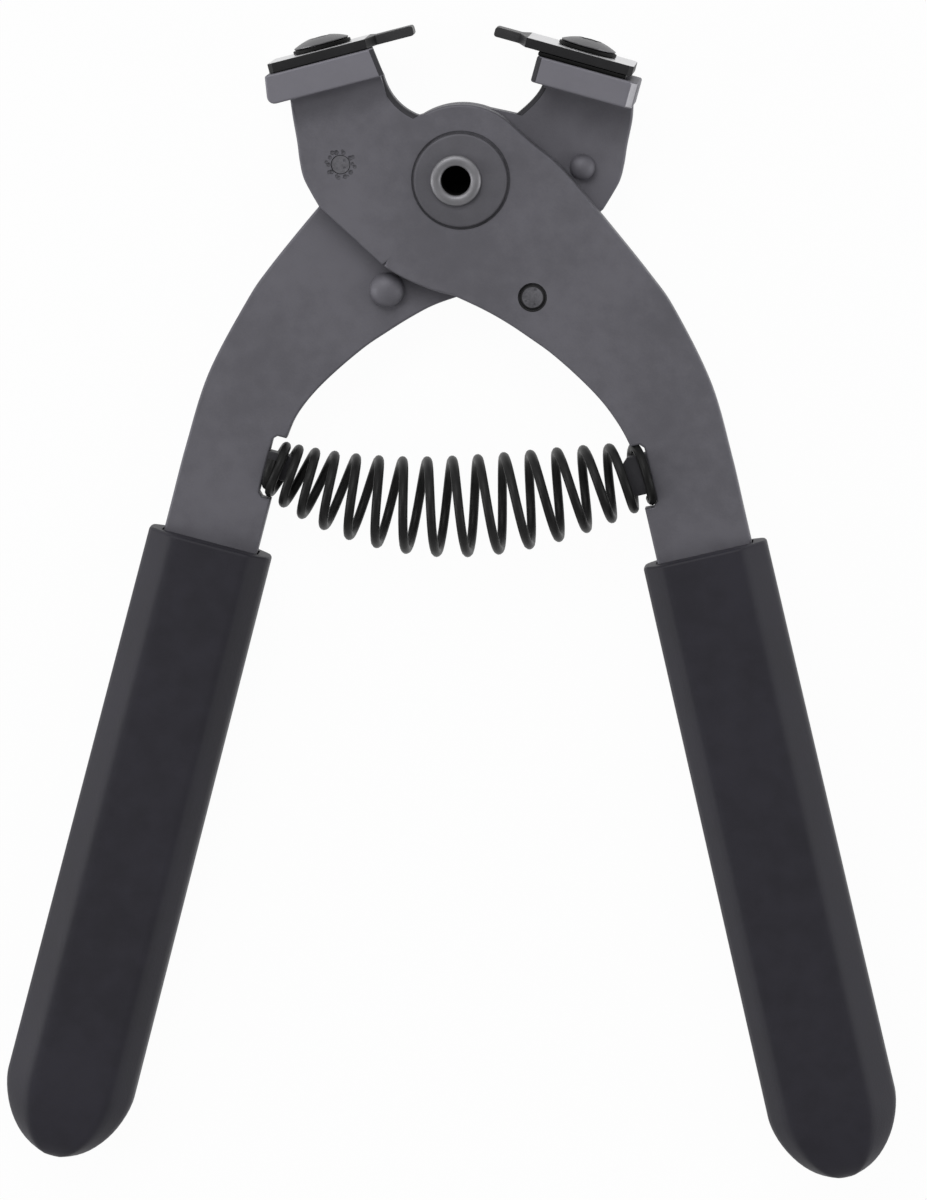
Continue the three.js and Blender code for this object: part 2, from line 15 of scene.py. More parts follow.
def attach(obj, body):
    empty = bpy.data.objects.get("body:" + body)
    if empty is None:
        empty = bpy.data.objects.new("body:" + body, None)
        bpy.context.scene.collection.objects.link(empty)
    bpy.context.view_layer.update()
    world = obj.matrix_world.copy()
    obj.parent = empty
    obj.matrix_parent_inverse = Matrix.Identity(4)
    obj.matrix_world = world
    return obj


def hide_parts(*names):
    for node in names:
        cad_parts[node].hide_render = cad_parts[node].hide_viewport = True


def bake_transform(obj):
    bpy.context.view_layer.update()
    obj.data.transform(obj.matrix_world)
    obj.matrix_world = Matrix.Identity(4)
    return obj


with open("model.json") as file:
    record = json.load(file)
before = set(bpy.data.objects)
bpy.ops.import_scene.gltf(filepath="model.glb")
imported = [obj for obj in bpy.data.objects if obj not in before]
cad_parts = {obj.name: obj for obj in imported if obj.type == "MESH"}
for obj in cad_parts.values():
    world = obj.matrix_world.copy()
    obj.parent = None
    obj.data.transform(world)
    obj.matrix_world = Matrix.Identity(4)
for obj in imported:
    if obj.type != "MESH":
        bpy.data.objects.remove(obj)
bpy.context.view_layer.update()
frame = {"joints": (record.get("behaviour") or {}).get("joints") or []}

log = logging.getLogger("tool")

MM = 0.001
PIVOT = Vector(frame["joints"][0]["pos_m"])
FULL_TURN = 2 * math.pi
FULL_CIRCLE = 360

# How meshes are tested, with lengths in millimetres
SHARP_ANGLE = math.radians(32)
SAME_PLACE = 0.001
SLACK = 0.01
ALIGNED = 0.02
TILTED = 0.1
PINHOLE_SIDES = 3

# Turns: one stands Z up along the jaw seat's normal, the other swaps X and Z
STAND = Matrix.Rotation(-math.pi / 2, 4, "X")
X_FOR_Z = Matrix(((0, 0, 1, 0), (0, 1, 0, 0), (1, 0, 0, 0), (0, 0, 0, 1)))

# Shader values: where most noise lies, and how much of a lean to blue is taken off the green
NOISE_RANGE = (0.35, 0.65)
GREEN_SHARE = 0.2

Number = "Level | float"
Places = tuple[tuple[float, float], ...]
EdgeTest = Callable[[bmesh.types.BMEdge], bool]


class Side(Enum):
    """The two levers. The back one is the front one turned over."""

    FRONT = "front"
    BACK = "back"

    @property
    def body(self) -> str:
        """The CAD body that the lever and all that is fixed to it ride on."""
        return f"{self.value}_half"

    @property
    def jaw(self) -> str:
        """The side of the photograph on which its jaw is."""
        return "left" if self is Side.FRONT else "right"

    @property
    def handle(self) -> str:
        """The side of the photograph on which its handle is."""
        return "right" if self is Side.FRONT else "left"

    @property
    def plan(self) -> "LeverPlan":
        """Its own lever's plan."""
        return PLANS[self]

    def placed(self) -> Matrix:
        """Moves a drawing in millimetres about the pivot to the row frame in metres."""
        turn = Matrix.Identity(4) if self is Side.FRONT else Matrix.Rotation(math.pi, 4, "Y")
        return Matrix.Translation(PIVOT) @ turn @ Matrix.Scale(MM, 4)


class Cut(Enum):
    """How a second solid changes a first one."""

    ADD = "UNION"
    TAKE = "DIFFERENCE"


# Shader graph


class Graph:
    """A node tree and the one way that its nodes are made."""

    def __init__(self, tree: bpy.types.NodeTree) -> None:
        """Takes a material's or the world's node tree and empties it."""
        self.tree = tree
        self.tree.nodes.clear()

    def node(self, kind: str, settings: dict[str, object] | None = None,
             sockets: dict[str | int, object] | None = None) -> bpy.types.Node:
        """Makes a node.

        Args:
            kind: the node's type.
            settings: its properties, which are set first.
            sockets: values or links for its inputs, by name or number.

        Returns:
            The node.
        """
        made = self.tree.nodes.new(kind)
        for name, value in (settings or {}).items():
            setattr(made, name, value)
        for name, value in (sockets or {}).items():
            self.feed(made.inputs[name], value)
        return made

    def feed(self, socket: bpy.types.NodeSocket, value: object) -> None:
        """Links or sets a socket.

        Args:
            socket: the input.
            value: a Level, an output socket or a plain value.
        """
        if isinstance(value, Level):
            value = value.socket
        if isinstance(value, bpy.types.NodeSocket):
            self.tree.links.new(value, socket)
        else:
            socket.default_value = value

    def level(self, node: bpy.types.Node, output: str | int = 0) -> "Level":
        """The number that a node gives."""
        return Level(self, node.outputs[output])

    def place(self) -> bpy.types.NodeSocket:
        """Object coordinates, in metres."""
        return self.node("ShaderNodeTexCoord").outputs["Object"]

    def noise(self, place: bpy.types.NodeSocket, size: float, detail: float = 2.0,
              roughness: float = 0.5) -> "Level":
        """Smooth noise from 0 to 1.

        Args:
            place: the coordinates in metres.
            size: about how long one blotch is, in millimetres.
            detail: how many finer layers lie on it.
            roughness: how strong the finer layers are.

        Returns:
            The noise.
        """
        return self.level(self.node("ShaderNodeTexNoise", None, {
            "Vector": place, "Scale": 1 / (size * MM), "Detail": detail, "Roughness": roughness,
        }))

    def mixed(self, share: Number, first: object, second: object) -> bpy.types.NodeSocket:
        """The colour socket of a mix: a share of 0 gives the first colour and 1 the second."""
        mix = self.node("ShaderNodeMix", {"data_type": "RGBA"}, {0: share, 6: first, 7: second})
        return mix.outputs[2]

    def bump(self, height: "Level", depth: float) -> bpy.types.NodeSocket:
        """The normal socket of a height from 0 to 1, where 1 stands for the depth in millimetres."""
        return self.node("ShaderNodeBump", None, {"Height": height, "Distance": depth * MM}).outputs["Normal"]


class Level:
    """A number that varies over a surface, so that shader sums can be written as Python."""

    def __init__(self, graph: Graph, socket: bpy.types.NodeSocket) -> None:
        """Wraps an output socket of a tree."""
        self.graph = graph
        self.socket = socket

    def _math(self, operation: str, *values: Number) -> "Level":
        """The result of a Math node with these inputs."""
        return self.graph.level(self.graph.node(
            "ShaderNodeMath", {"operation": operation}, dict(enumerate(values))))

    def __add__(self, other: Number) -> "Level":
        """This plus the other."""
        return self._math("ADD", self, other)

    __radd__ = __add__

    def __sub__(self, other: Number) -> "Level":
        """This less the other."""
        return self._math("SUBTRACT", self, other)

    def __rsub__(self, other: Number) -> "Level":
        """The other less this."""
        return self._math("SUBTRACT", other, self)

    def __mul__(self, other: Number) -> "Level":
        """This times the other."""
        return self._math("MULTIPLY", self, other)

    __rmul__ = __mul__

    def __abs__(self) -> "Level":
        """Its size without its sign."""
        return self._math("ABSOLUTE", self)

    def most(self, other: Number) -> "Level":
        """The larger of this and the other."""
        return self._math("MAXIMUM", self, other)

    def rise(self, low: float, high: float) -> "Level":
        """A smooth step.

        Args:
            low: where it is 0.
            high: where it is 1.

        Returns:
            The step.
        """
        return self.graph.level(self.graph.node(
            "ShaderNodeMapRange", {"interpolation_type": "SMOOTHSTEP"},
            {"Value": self, "From Min": low, "From Max": high}))


def grey(level: float, blue: float = 1.0) -> tuple[float, float, float, float]:
    """A grey with this linear red. Its blue may be stronger, and its green falls by a fifth of that."""
    return (level, level * (1 + GREEN_SHARE - GREEN_SHARE * blue), level * blue, 1.0)


class Finish:
    """A finish that makes its material once."""

    name: str
    made: dict["Finish", bpy.types.Material] = {}

    def material(self) -> bpy.types.Material:
        """The material, made at the first call.

        Returns:
            The material.
        """
        if self not in Finish.made:
            made = bpy.data.materials.new(self.name)
            made.use_nodes = True
            graph = Graph(made.node_tree)
            shader = graph.node("ShaderNodeBsdfPrincipled")
            self.paint(graph, shader)
            graph.node("ShaderNodeOutputMaterial", None, {"Surface": shader.outputs[0]})
            Finish.made[self] = made
        return Finish.made[self]

    def paint(self, graph: Graph, shader: bpy.types.Node) -> None:
        """Feeds the Principled shader of the material's tree."""
        raise NotImplementedError


@dataclass(frozen=True)
class GrainedSteel(Finish):
    """Satin steel with a fine blasted grain and soft blotches, and paler on faces that are rubbed."""

    name: str
    tone: float
    blue: float = 1.08
    metal: float = 0.35
    rough: float = 0.55
    rough_swing: float = 0.1
    specular: float = 0.3
    blotch: float = 0.12
    blotch_shares: tuple[float, float, float] = (0.55, 0.3, 0.15)
    broad: float = 24.0
    middle: float = 3.0
    middle_detail: float = 3.0
    middle_depth_share: float = 0.6
    grain: float = 0.35
    grain_roughness: float = 0.7
    grain_depth: float = 0.02
    rubbed_tone: float = 0.0
    rubbed_reach: float = 9.6
    rubbed_fade: float = 0.15
    rubbed_patch_share: float = 0.25

    def paint(self, graph: Graph, shader: bpy.types.Node) -> None:
        """Feeds the shader.

        Args:
            graph: the material's tree.
            shader: its Principled node.
        """
        place = graph.place()
        broad = graph.noise(place, self.broad)
        middle = graph.noise(place, self.middle, self.middle_detail)
        fine = graph.noise(place, self.grain, roughness=self.grain_roughness)
        broad_share, middle_share, fine_share = self.blotch_shares
        shade = broad * broad_share + middle * middle_share + fine * fine_share
        low = grey(self.tone * (1 - self.blotch), self.blue)
        high = grey(self.tone * (1 + self.blotch), self.blue)
        colour = graph.mixed(shade.rise(*NOISE_RANGE), low, high)
        if self.rubbed_tone:
            parts = graph.node("ShaderNodeSeparateXYZ", None, {0: place})
            depth = abs(graph.level(parts, "Z") - PIVOT.z) * (1 / MM)
            patches = 1 - self.rubbed_patch_share + self.rubbed_patch_share * middle
            worn = depth.rise(self.rubbed_reach, self.rubbed_reach + self.rubbed_fade) * patches
            colour = graph.mixed(worn, colour, grey(self.rubbed_tone, self.blue))
        graph.feed(shader.inputs["Base Color"], colour)
        graph.feed(shader.inputs["Roughness"], self.rough - self.rough_swing / 2 + self.rough_swing * middle)
        skin = graph.bump(fine + self.middle_depth_share * middle, self.grain_depth)
        graph.feed(shader.inputs["Normal"], skin)
        shader.inputs["Metallic"].default_value = self.metal
        shader.inputs["Specular IOR Level"].default_value = self.specular


@dataclass(frozen=True)
class Vinyl(Finish):
    """Matte black sleeve with a fine skin and soft handling marks."""

    name: str = "matte_black_vinyl"
    tone: float = 0.021
    tone_shares: tuple[float, float] = (0.85, 1.2)
    blue: float = 1.3
    rough: float = 0.55
    rough_swing: float = 0.12
    specular: float = 0.3
    blotch_shares: tuple[float, float] = (0.6, 0.4)
    broad: float = 30.0
    middle: float = 4.0
    middle_detail: float = 4.0
    middle_depth_share: float = 0.5
    skin: float = 0.45
    skin_roughness: float = 0.6
    skin_depth: float = 0.03

    def paint(self, graph: Graph, shader: bpy.types.Node) -> None:
        """Feeds the shader.

        Args:
            graph: the material's tree.
            shader: its Principled node.
        """
        place = graph.place()
        broad = graph.noise(place, self.broad)
        middle = graph.noise(place, self.middle, self.middle_detail)
        fine = graph.noise(place, self.skin, roughness=self.skin_roughness)
        broad_share, middle_share = self.blotch_shares
        shade = broad * broad_share + middle * middle_share
        low, high = (grey(self.tone * share, self.blue) for share in self.tone_shares)
        graph.feed(shader.inputs["Base Color"], graph.mixed(shade.rise(*NOISE_RANGE), low, high))
        graph.feed(shader.inputs["Roughness"], self.rough - self.rough_swing / 2 + self.rough_swing * middle)
        skin = graph.bump(fine + self.middle_depth_share * middle, self.skin_depth)
        graph.feed(shader.inputs["Normal"], skin)
        shader.inputs["Specular IOR Level"].default_value = self.specular


PLATE_STEEL = GrainedSteel("satin_phosphate_steel", 0.145, 1.11, rubbed_tone=0.215)
# Painted shade: near-black steel for the throat's bevels, the pad's inner end and the spring tab, which lie
# where light does not fall
THROAT_SHADE_STEEL = GrainedSteel("painted_shade_throat_steel", 0.045, 1.1)
# Painted highlight: pale steel for the slanted facet on the pad's outer end, bright as if it faced the light
FACET_HIGHLIGHT_STEEL = GrainedSteel("painted_highlight_facet_steel", 0.36, 1.05, metal=0.6, rough=0.45, specular=0.4)
BUTTON_STEEL = GrainedSteel("stop_button_steel", 0.145, 1.11)
# Darker steel in the punch marks and the hub groove: partly the struck surface's own rough grain, partly
# painted shade in the dents and the groove
STRUCK_SHADE_STEEL = GrainedSteel("struck_and_shaded_steel", 0.085, 1.1, blotch=0.35, grain=0.5, grain_depth=0.08)
WASHER_STEEL = GrainedSteel("pivot_washer_steel", 0.122, 1.1)
# Painted shade: near-black steel in the staking counterbore round the handle pin and on the pins' ends inside
# it, where the recess is in shade
GROOVE_SHADE_STEEL = GrainedSteel("painted_shade_groove_steel", 0.03, 1.05, metal=0.1, rough=0.7, blotch=0.5,
                            grain_depth=0.05)
RIM_STEEL = GrainedSteel("rolled_rim_steel", 0.24, 1.05, metal=0.6, rough=0.45, specular=0.4)
# Painted shade: a near-black, dull lining for the rivet's deep bore, which lies in shade
BORE_SHADE_BLACK = GrainedSteel("painted_shade_bore_black", 0.012, 1.0, metal=0.0, rough=0.9, specular=0.05)
STAKED_STEEL = GrainedSteel("staked_end_steel", 0.12, blotch=0.45, grain=0.6, grain_depth=0.12)
BLADE_STEEL = GrainedSteel("blackened_blade_steel", 0.02, 1.05, metal=0.3, rough=0.5, specular=0.25)
NOSE_STEEL = GrainedSteel("blade_nose_steel", 0.055, 1.03, metal=0.6, rough=0.45, grain_depth=0.03)
GROUND_STEEL = GrainedSteel("ground_top_steel", 0.6, 1.02, metal=1.0, rough=0.3, blotch=0.05,
                            grain_depth=0.006)
# Near-black steel: black oxide on the screw washer, partly painted shade for the dark line under the head; on
# the strip under the raised blade it is painted shadow for the gap there
OXIDE_AND_SHADE_STEEL = GrainedSteel("black_oxide_and_painted_shade_steel", 0.006, 1.0, metal=0.2, rough=0.55, specular=0.15)
SCREW_STEEL = GrainedSteel("screw_steel", 0.16, 1.03, metal=0.8, rough=0.4, grain_depth=0.01)
SPRING_STEEL = GrainedSteel("oiled_black_wire", 0.016, 1.0, metal=0.1, rough=0.42, blotch=0.4, specular=0.16,
                            grain_depth=0.012)
SLEEVE_VINYL = Vinyl()

LEVER_FINISHES = (PLATE_STEEL, GROOVE_SHADE_STEEL, THROAT_SHADE_STEEL, FACET_HIGHLIGHT_STEEL, STRUCK_SHADE_STEEL)
PIN_FINISHES = (BUTTON_STEEL, STAKED_STEEL, GROOVE_SHADE_STEEL, STRUCK_SHADE_STEEL)
RIVET_FINISHES = (RIM_STEEL, BORE_SHADE_BLACK, BUTTON_STEEL)
BLADE_FINISHES = (BLADE_STEEL, GROUND_STEEL, NOSE_STEEL)


# Mesh tools


def polar(radius: float, degrees: float) -> Vector:
    """A flat point at a radius and angle about the pivot."""
    return Vector((radius * math.cos(math.radians(degrees)), radius * math.sin(math.radians(degrees))))


def turned_point(across: float, along: float, degrees: float, centre: Vector) -> Vector:
    """A flat point across and along a frame that is turned by degrees and then moved to a centre."""
    cosine, sine = math.cos(math.radians(degrees)), math.sin(math.radians(degrees))
    return Vector((across * cosine - along * sine, across * sine + along * cosine)) + centre


class Outline:
    """A closed plan of straight runs, arcs and free curves, in millimetres."""

    def __init__(self, start: Vector) -> None:
        """Starts the plan at its first point."""
        self.points = [start]

    def line(self, *ends: Vector) -> None:
        """Straight runs to each point in turn."""
        self.points.extend(ends)

    def arc(self, centre: Vector, radius: float, start: float, end: float, steps: int) -> None:
        """An arc about a centre, from one angle to another in degrees, made of steps runs."""
        for i in range(steps + 1):
            self.points.append(centre + polar(radius, start + (end - start) * i / steps))

    def bend(self, control: Vector, end: Vector, steps: int) -> None:
        """A curve that leans to a control point.

        Args:
            control: the point that it leans to.
            end: where it ends.
            steps: the number of runs that it is made of.
        """
        start = self.points[-1]
        for i in range(1, steps + 1):
            share = i / steps
            self.points.append(start.lerp(control, share).lerp(control.lerp(end, share), share))

    def spline(self, through: Sequence[Vector], steps: int) -> None:
        """A free curve through points.

        Args:
            through: the points, after the last one drawn.
            steps: the number of runs between two of them.
        """
        knots = [self.points[-1], *through]
        last = len(knots) - 1
        for i in range(last):
            start, end = knots[i], knots[i + 1]
            leave = (end - knots[max(i - 1, 0)]) / 2
            arrive = (knots[min(i + 2, last)] - start) / 2
            for k in range(1, steps + 1):
                t = k / steps
                square, cube = t * t, t * t * t
                self.points.append(start * (2 * cube - 3 * square + 1) + leave * (cube - 2 * square + t)
                                   + end * (3 * square - 2 * cube) + arrive * (cube - square))


def prism(points: Sequence[Vector], low: float, high: float) -> bmesh.types.BMesh:
    """A plan drawn up along +Z.

    Args:
        points: the plan's corners.
        low: the height of its lower face.
        high: the height of its upper face.

    Returns:
        The closed shell.
    """
    bm = bmesh.new()
    base = bm.faces.new([bm.verts.new((*p, low)) for p in points])
    grown = bmesh.ops.extrude_face_region(bm, geom=[base])
    raised = [item for item in grown["geom"] if isinstance(item, bmesh.types.BMVert)]
    bmesh.ops.translate(bm, verts=raised, vec=(0, 0, high - low))
    bmesh.ops.recalc_face_normals(bm, faces=bm.faces)
    return bm


def block(low: Vector, high: Vector) -> bmesh.types.BMesh:
    """A box between two corners.

    Args:
        low: the corner with the lowest coordinates.
        high: the opposite corner.

    Returns:
        The closed shell.
    """
    bm = bmesh.new()
    bmesh.ops.create_cube(bm, size=1)
    bmesh.ops.scale(bm, vec=high - low, verts=bm.verts)
    bmesh.ops.translate(bm, vec=(low + high) / 2, verts=bm.verts)
    return bm


def lathe(profile: Sequence[tuple[float, float]], steps: int) -> bmesh.types.BMesh:
    """A closed shell turned about Z.

    Args:
        profile: radius and height of each point.
        steps: the number of faces round the axis.

    Returns:
        The shell.
    """
    bm = bmesh.new()
    verts = [bm.verts.new((radius, 0, height)) for radius, height in profile]
    edges = [bm.edges.new(pair) for pair in zip(verts, verts[1:])]
    bmesh.ops.spin(bm, geom=verts + edges, cent=(0, 0, 0), axis=(0, 0, 1), angle=FULL_TURN,
                   steps=steps, use_merge=True)
    bmesh.ops.remove_doubles(bm, verts=bm.verts, dist=SAME_PLACE)
    bmesh.ops.recalc_face_normals(bm, faces=bm.faces)
    return bm


def plug(radius: float, low: float, high: float, steps: int) -> bmesh.types.BMesh:
    """A round bar about Z, such as a hole's cutter."""
    return lathe([(0, low), (radius, low), (radius, high), (0, high)], steps)


def loft(bm: bmesh.types.BMesh, cap: bmesh.types.BMFace, places: Sequence[Matrix]) -> bmesh.types.BMFace:
    """Draws a ring through a row of places, with no face left inside.

    Args:
        bm: the shell, which holds the first ring.
        cap: the first ring's face, which closes that end.
        places: where the ring lies in turn, with any stretch of it.

    Returns:
        The last ring's face.
    """
    for i, (before, place) in enumerate(zip(places, places[1:])):
        grown = bmesh.ops.extrude_face_region(bm, geom=[cap])["geom"]
        if i and cap.is_valid:
            bmesh.ops.delete(bm, geom=[cap], context="FACES_ONLY")
        verts = [item for item in grown if isinstance(item, bmesh.types.BMVert)]
        bmesh.ops.transform(bm, matrix=place @ before.inverted(), verts=verts)
        cap = next(item for item in grown if isinstance(item, bmesh.types.BMFace))
    return cap


def rounded(bm: bmesh.types.BMesh, chosen: EdgeTest, radius: float, segments: int = 3) -> None:
    """Rounds the edges that a test picks.

    Args:
        bm: the shell.
        chosen: says whether an edge is rounded.
        radius: how far the rounding reaches.
        segments: the number of its faces across. One makes it a flat bevel.
    """
    edges = [edge for edge in bm.edges if chosen(edge)]
    bmesh.ops.bevel(bm, geom=edges, offset=radius, offset_type="OFFSET", segments=segments,
                    profile=0.5, affect="EDGES", material=-1)


def lying_at(axis: str, *places: float) -> EdgeTest:
    """A test for edges whose two ends lie at one of these places on an axis."""
    return lambda edge: any(all(abs(getattr(vert.co, axis) - place) < SAME_PLACE for vert in edge.verts)
                            for place in places)


def beyond(axis: str, sign: int) -> EdgeTest:
    """A test for edges whose two ends lie past zero on an axis, in the direction of the sign."""
    return lambda edge: all(getattr(vert.co, axis) * sign > 0 for vert in edge.verts)


def both(first: EdgeTest, second: EdgeTest) -> EdgeTest:
    """A test for edges that pass two tests."""
    return lambda edge: first(edge) and second(edge)


def sharp(edge: bmesh.types.BMEdge) -> bool:
    """Whether two faces meet at a clear angle on an edge."""
    return edge.calc_face_angle(0) > SHARP_ANGLE


def moved(bm: bmesh.types.BMesh, matrix: Matrix) -> bmesh.types.BMesh:
    """Moves a shell and points its faces outwards again.

    Args:
        bm: the shell.
        matrix: the move.

    Returns:
        The same shell.
    """
    bmesh.ops.transform(bm, matrix=matrix, verts=bm.verts)
    bmesh.ops.recalc_face_normals(bm, faces=bm.faces)
    return bm


def paint(faces: Iterable[bmesh.types.BMFace], finishes: Sequence[Finish], finish: Finish) -> None:
    """Gives faces one of the finishes of the object that they end up in."""
    for face in faces:
        face.material_index = finishes.index(finish)


def solid(bm: bmesh.types.BMesh, *finishes: Finish) -> bpy.types.Object:
    """Turns a shell into an object and frees the shell.

    Args:
        bm: the shell.
        finishes: its finishes, in the order of its faces' material numbers.

    Returns:
        The object.
    """
    mesh = bpy.data.meshes.new("shell")
    bm.to_mesh(mesh)
    bm.free()
    for finish in finishes:
        mesh.materials.append(finish.material())
    made = bpy.data.objects.new("shell", mesh)
    bpy.context.scene.collection.objects.link(made)
    return made


def settled(made: bpy.types.Object) -> None:
    """Applies an object's modifiers to its mesh.

    Args:
        made: the object.
    """
    graph = bpy.context.evaluated_depsgraph_get()
    mesh = bpy.data.meshes.new_from_object(made.evaluated_get(graph))
    old = made.data
    made.modifiers.clear()
    made.data = mesh
    bpy.data.meshes.remove(old)


def combine(base: bpy.types.Object, how: Cut, *others: bpy.types.Object) -> None:
    """Adds solids to a base or takes them away, and removes them.

    Args:
        base: the solid that is kept.
        how: added or taken away.
        others: the solids that go.
    """
    for other in others:
        tool = base.modifiers.new(how.name, "BOOLEAN")
        tool.operation = how.value
        tool.solver = "EXACT"
        tool.object = other
        settled(base)
        mesh = other.data
        bpy.data.objects.remove(other)
        bpy.data.meshes.remove(mesh)


@dataclass(frozen=True)
class PunchRing:
    """An uneven ring of marks that a round-tipped punch left."""

    count: int
    reach: float
    ball: float
    depth: float
    reach_swing: float = 0.05
    turn_swing: float = 0.08
    depth_swing: float = 0.25
    reach_beat: float = 5
    turn_beat: float = 3
    depth_beat: float = 4
    turn_per_reach: float = 50
    round_steps: int = 12
    tall_steps: int = 9

    def cutter(self, place: Vector, height: float, finishes: Sequence[Finish]) -> bpy.types.Object:
        """The cutter for the marks.

        Args:
            place: the ring's middle in the plan.
            height: the height of the face that is struck.
            finishes: the finishes of the piece that is struck.

        Returns:
            The cutter.
        """
        bm = bmesh.new()
        for i in range(self.count):
            reach = self.reach * (1 + self.reach_swing * math.sin(self.reach_beat * i + self.reach))
            turn = (i + self.turn_swing * math.sin(self.turn_beat * i)) / self.count
            spot = place + polar(reach, FULL_CIRCLE * turn + self.turn_per_reach * self.reach)
            sunk = self.depth * (1 - self.depth_swing + self.depth_swing * math.cos(self.depth_beat * i))
            bmesh.ops.create_uvsphere(bm, u_segments=self.round_steps, v_segments=self.tall_steps,
                                      radius=self.ball,
                                      matrix=Matrix.Translation((*spot, height + self.ball - sunk)))
        # The marks get the darker struck steel: their rough grain, and painted shade in the dents
        paint(bm.faces, finishes, STRUCK_SHADE_STEEL)
        return solid(bm)


@dataclass(frozen=True)
class Piece:
    """A finished piece: its name, what it rides on and stands for, and its material slot."""

    name: str
    body: str
    node: str
    slot: str

    def finish(self, made: bpy.types.Object, place: Matrix) -> bpy.types.Object:
        """Puts a modelled object in place and fastens it to the frame.

        Args:
            made: the object, drawn in millimetres, with its finishes.
            place: moves its mesh to the row frame.

        Returns:
            The object.
        """
        made.name = self.name
        made.data.name = self.name
        made.data.transform(place)
        soften(made)
        if self.node:
            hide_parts(self.node)
        if self.body:
            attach(made, self.body)
        log.info("%s: %d faces, for %s", self.name, len(made.data.polygons), self.node or self.body)
        return made


def soften(made: bpy.types.Object) -> None:
    """Closes pinholes and shades a mesh smoothly, except over its sharp edges, with flat faces kept flat.

    Args:
        made: the object that has the mesh.
    """
    bm = bmesh.new()
    bm.from_mesh(made.data)
    rims = [edge for edge in bm.edges if edge.is_boundary]
    bmesh.ops.holes_fill(bm, edges=rims, sides=PINHOLE_SIDES)
    for face in bm.faces:
        face.smooth = True
    for edge in bm.edges:
        edge.smooth = edge.calc_face_angle(math.pi) < SHARP_ANGLE
    bm.to_mesh(made.data)
    bm.free()
    even = made.modifiers.new("flat_faces", "WEIGHTED_NORMAL")
    even.keep_sharp = True


# The tool


@dataclass(frozen=True)
class Fits:
    """Sizes in millimetres that several pieces share, and how far a cutter overruns what it cuts."""

    rivet_shank: float = 7
    screw_shank: float = 6
    screw_hole_depth: float = 4.1
    clearance: float = 0.3
    seat_gap: float = 0.1
    overrun: float = 1

    @property
    def rivet_hole(self) -> float:
        """Radius of the holes that the rivet passes through."""
        return (self.rivet_shank + self.clearance) / 2

    @property
    def screw_hole(self) -> float:
        """Radius of the holes that a blade screw passes through."""
        return (self.screw_shank + self.clearance) / 2


FITS = Fits()


@dataclass(frozen=True)
class StopPin:
    """A stop pin: a domed head on the inner face, a shank through the plate, its end's edge and marks."""

    head: float
    head_height: float
    shank: float
    end_edge: float
    marks: tuple[PunchRing, ...]


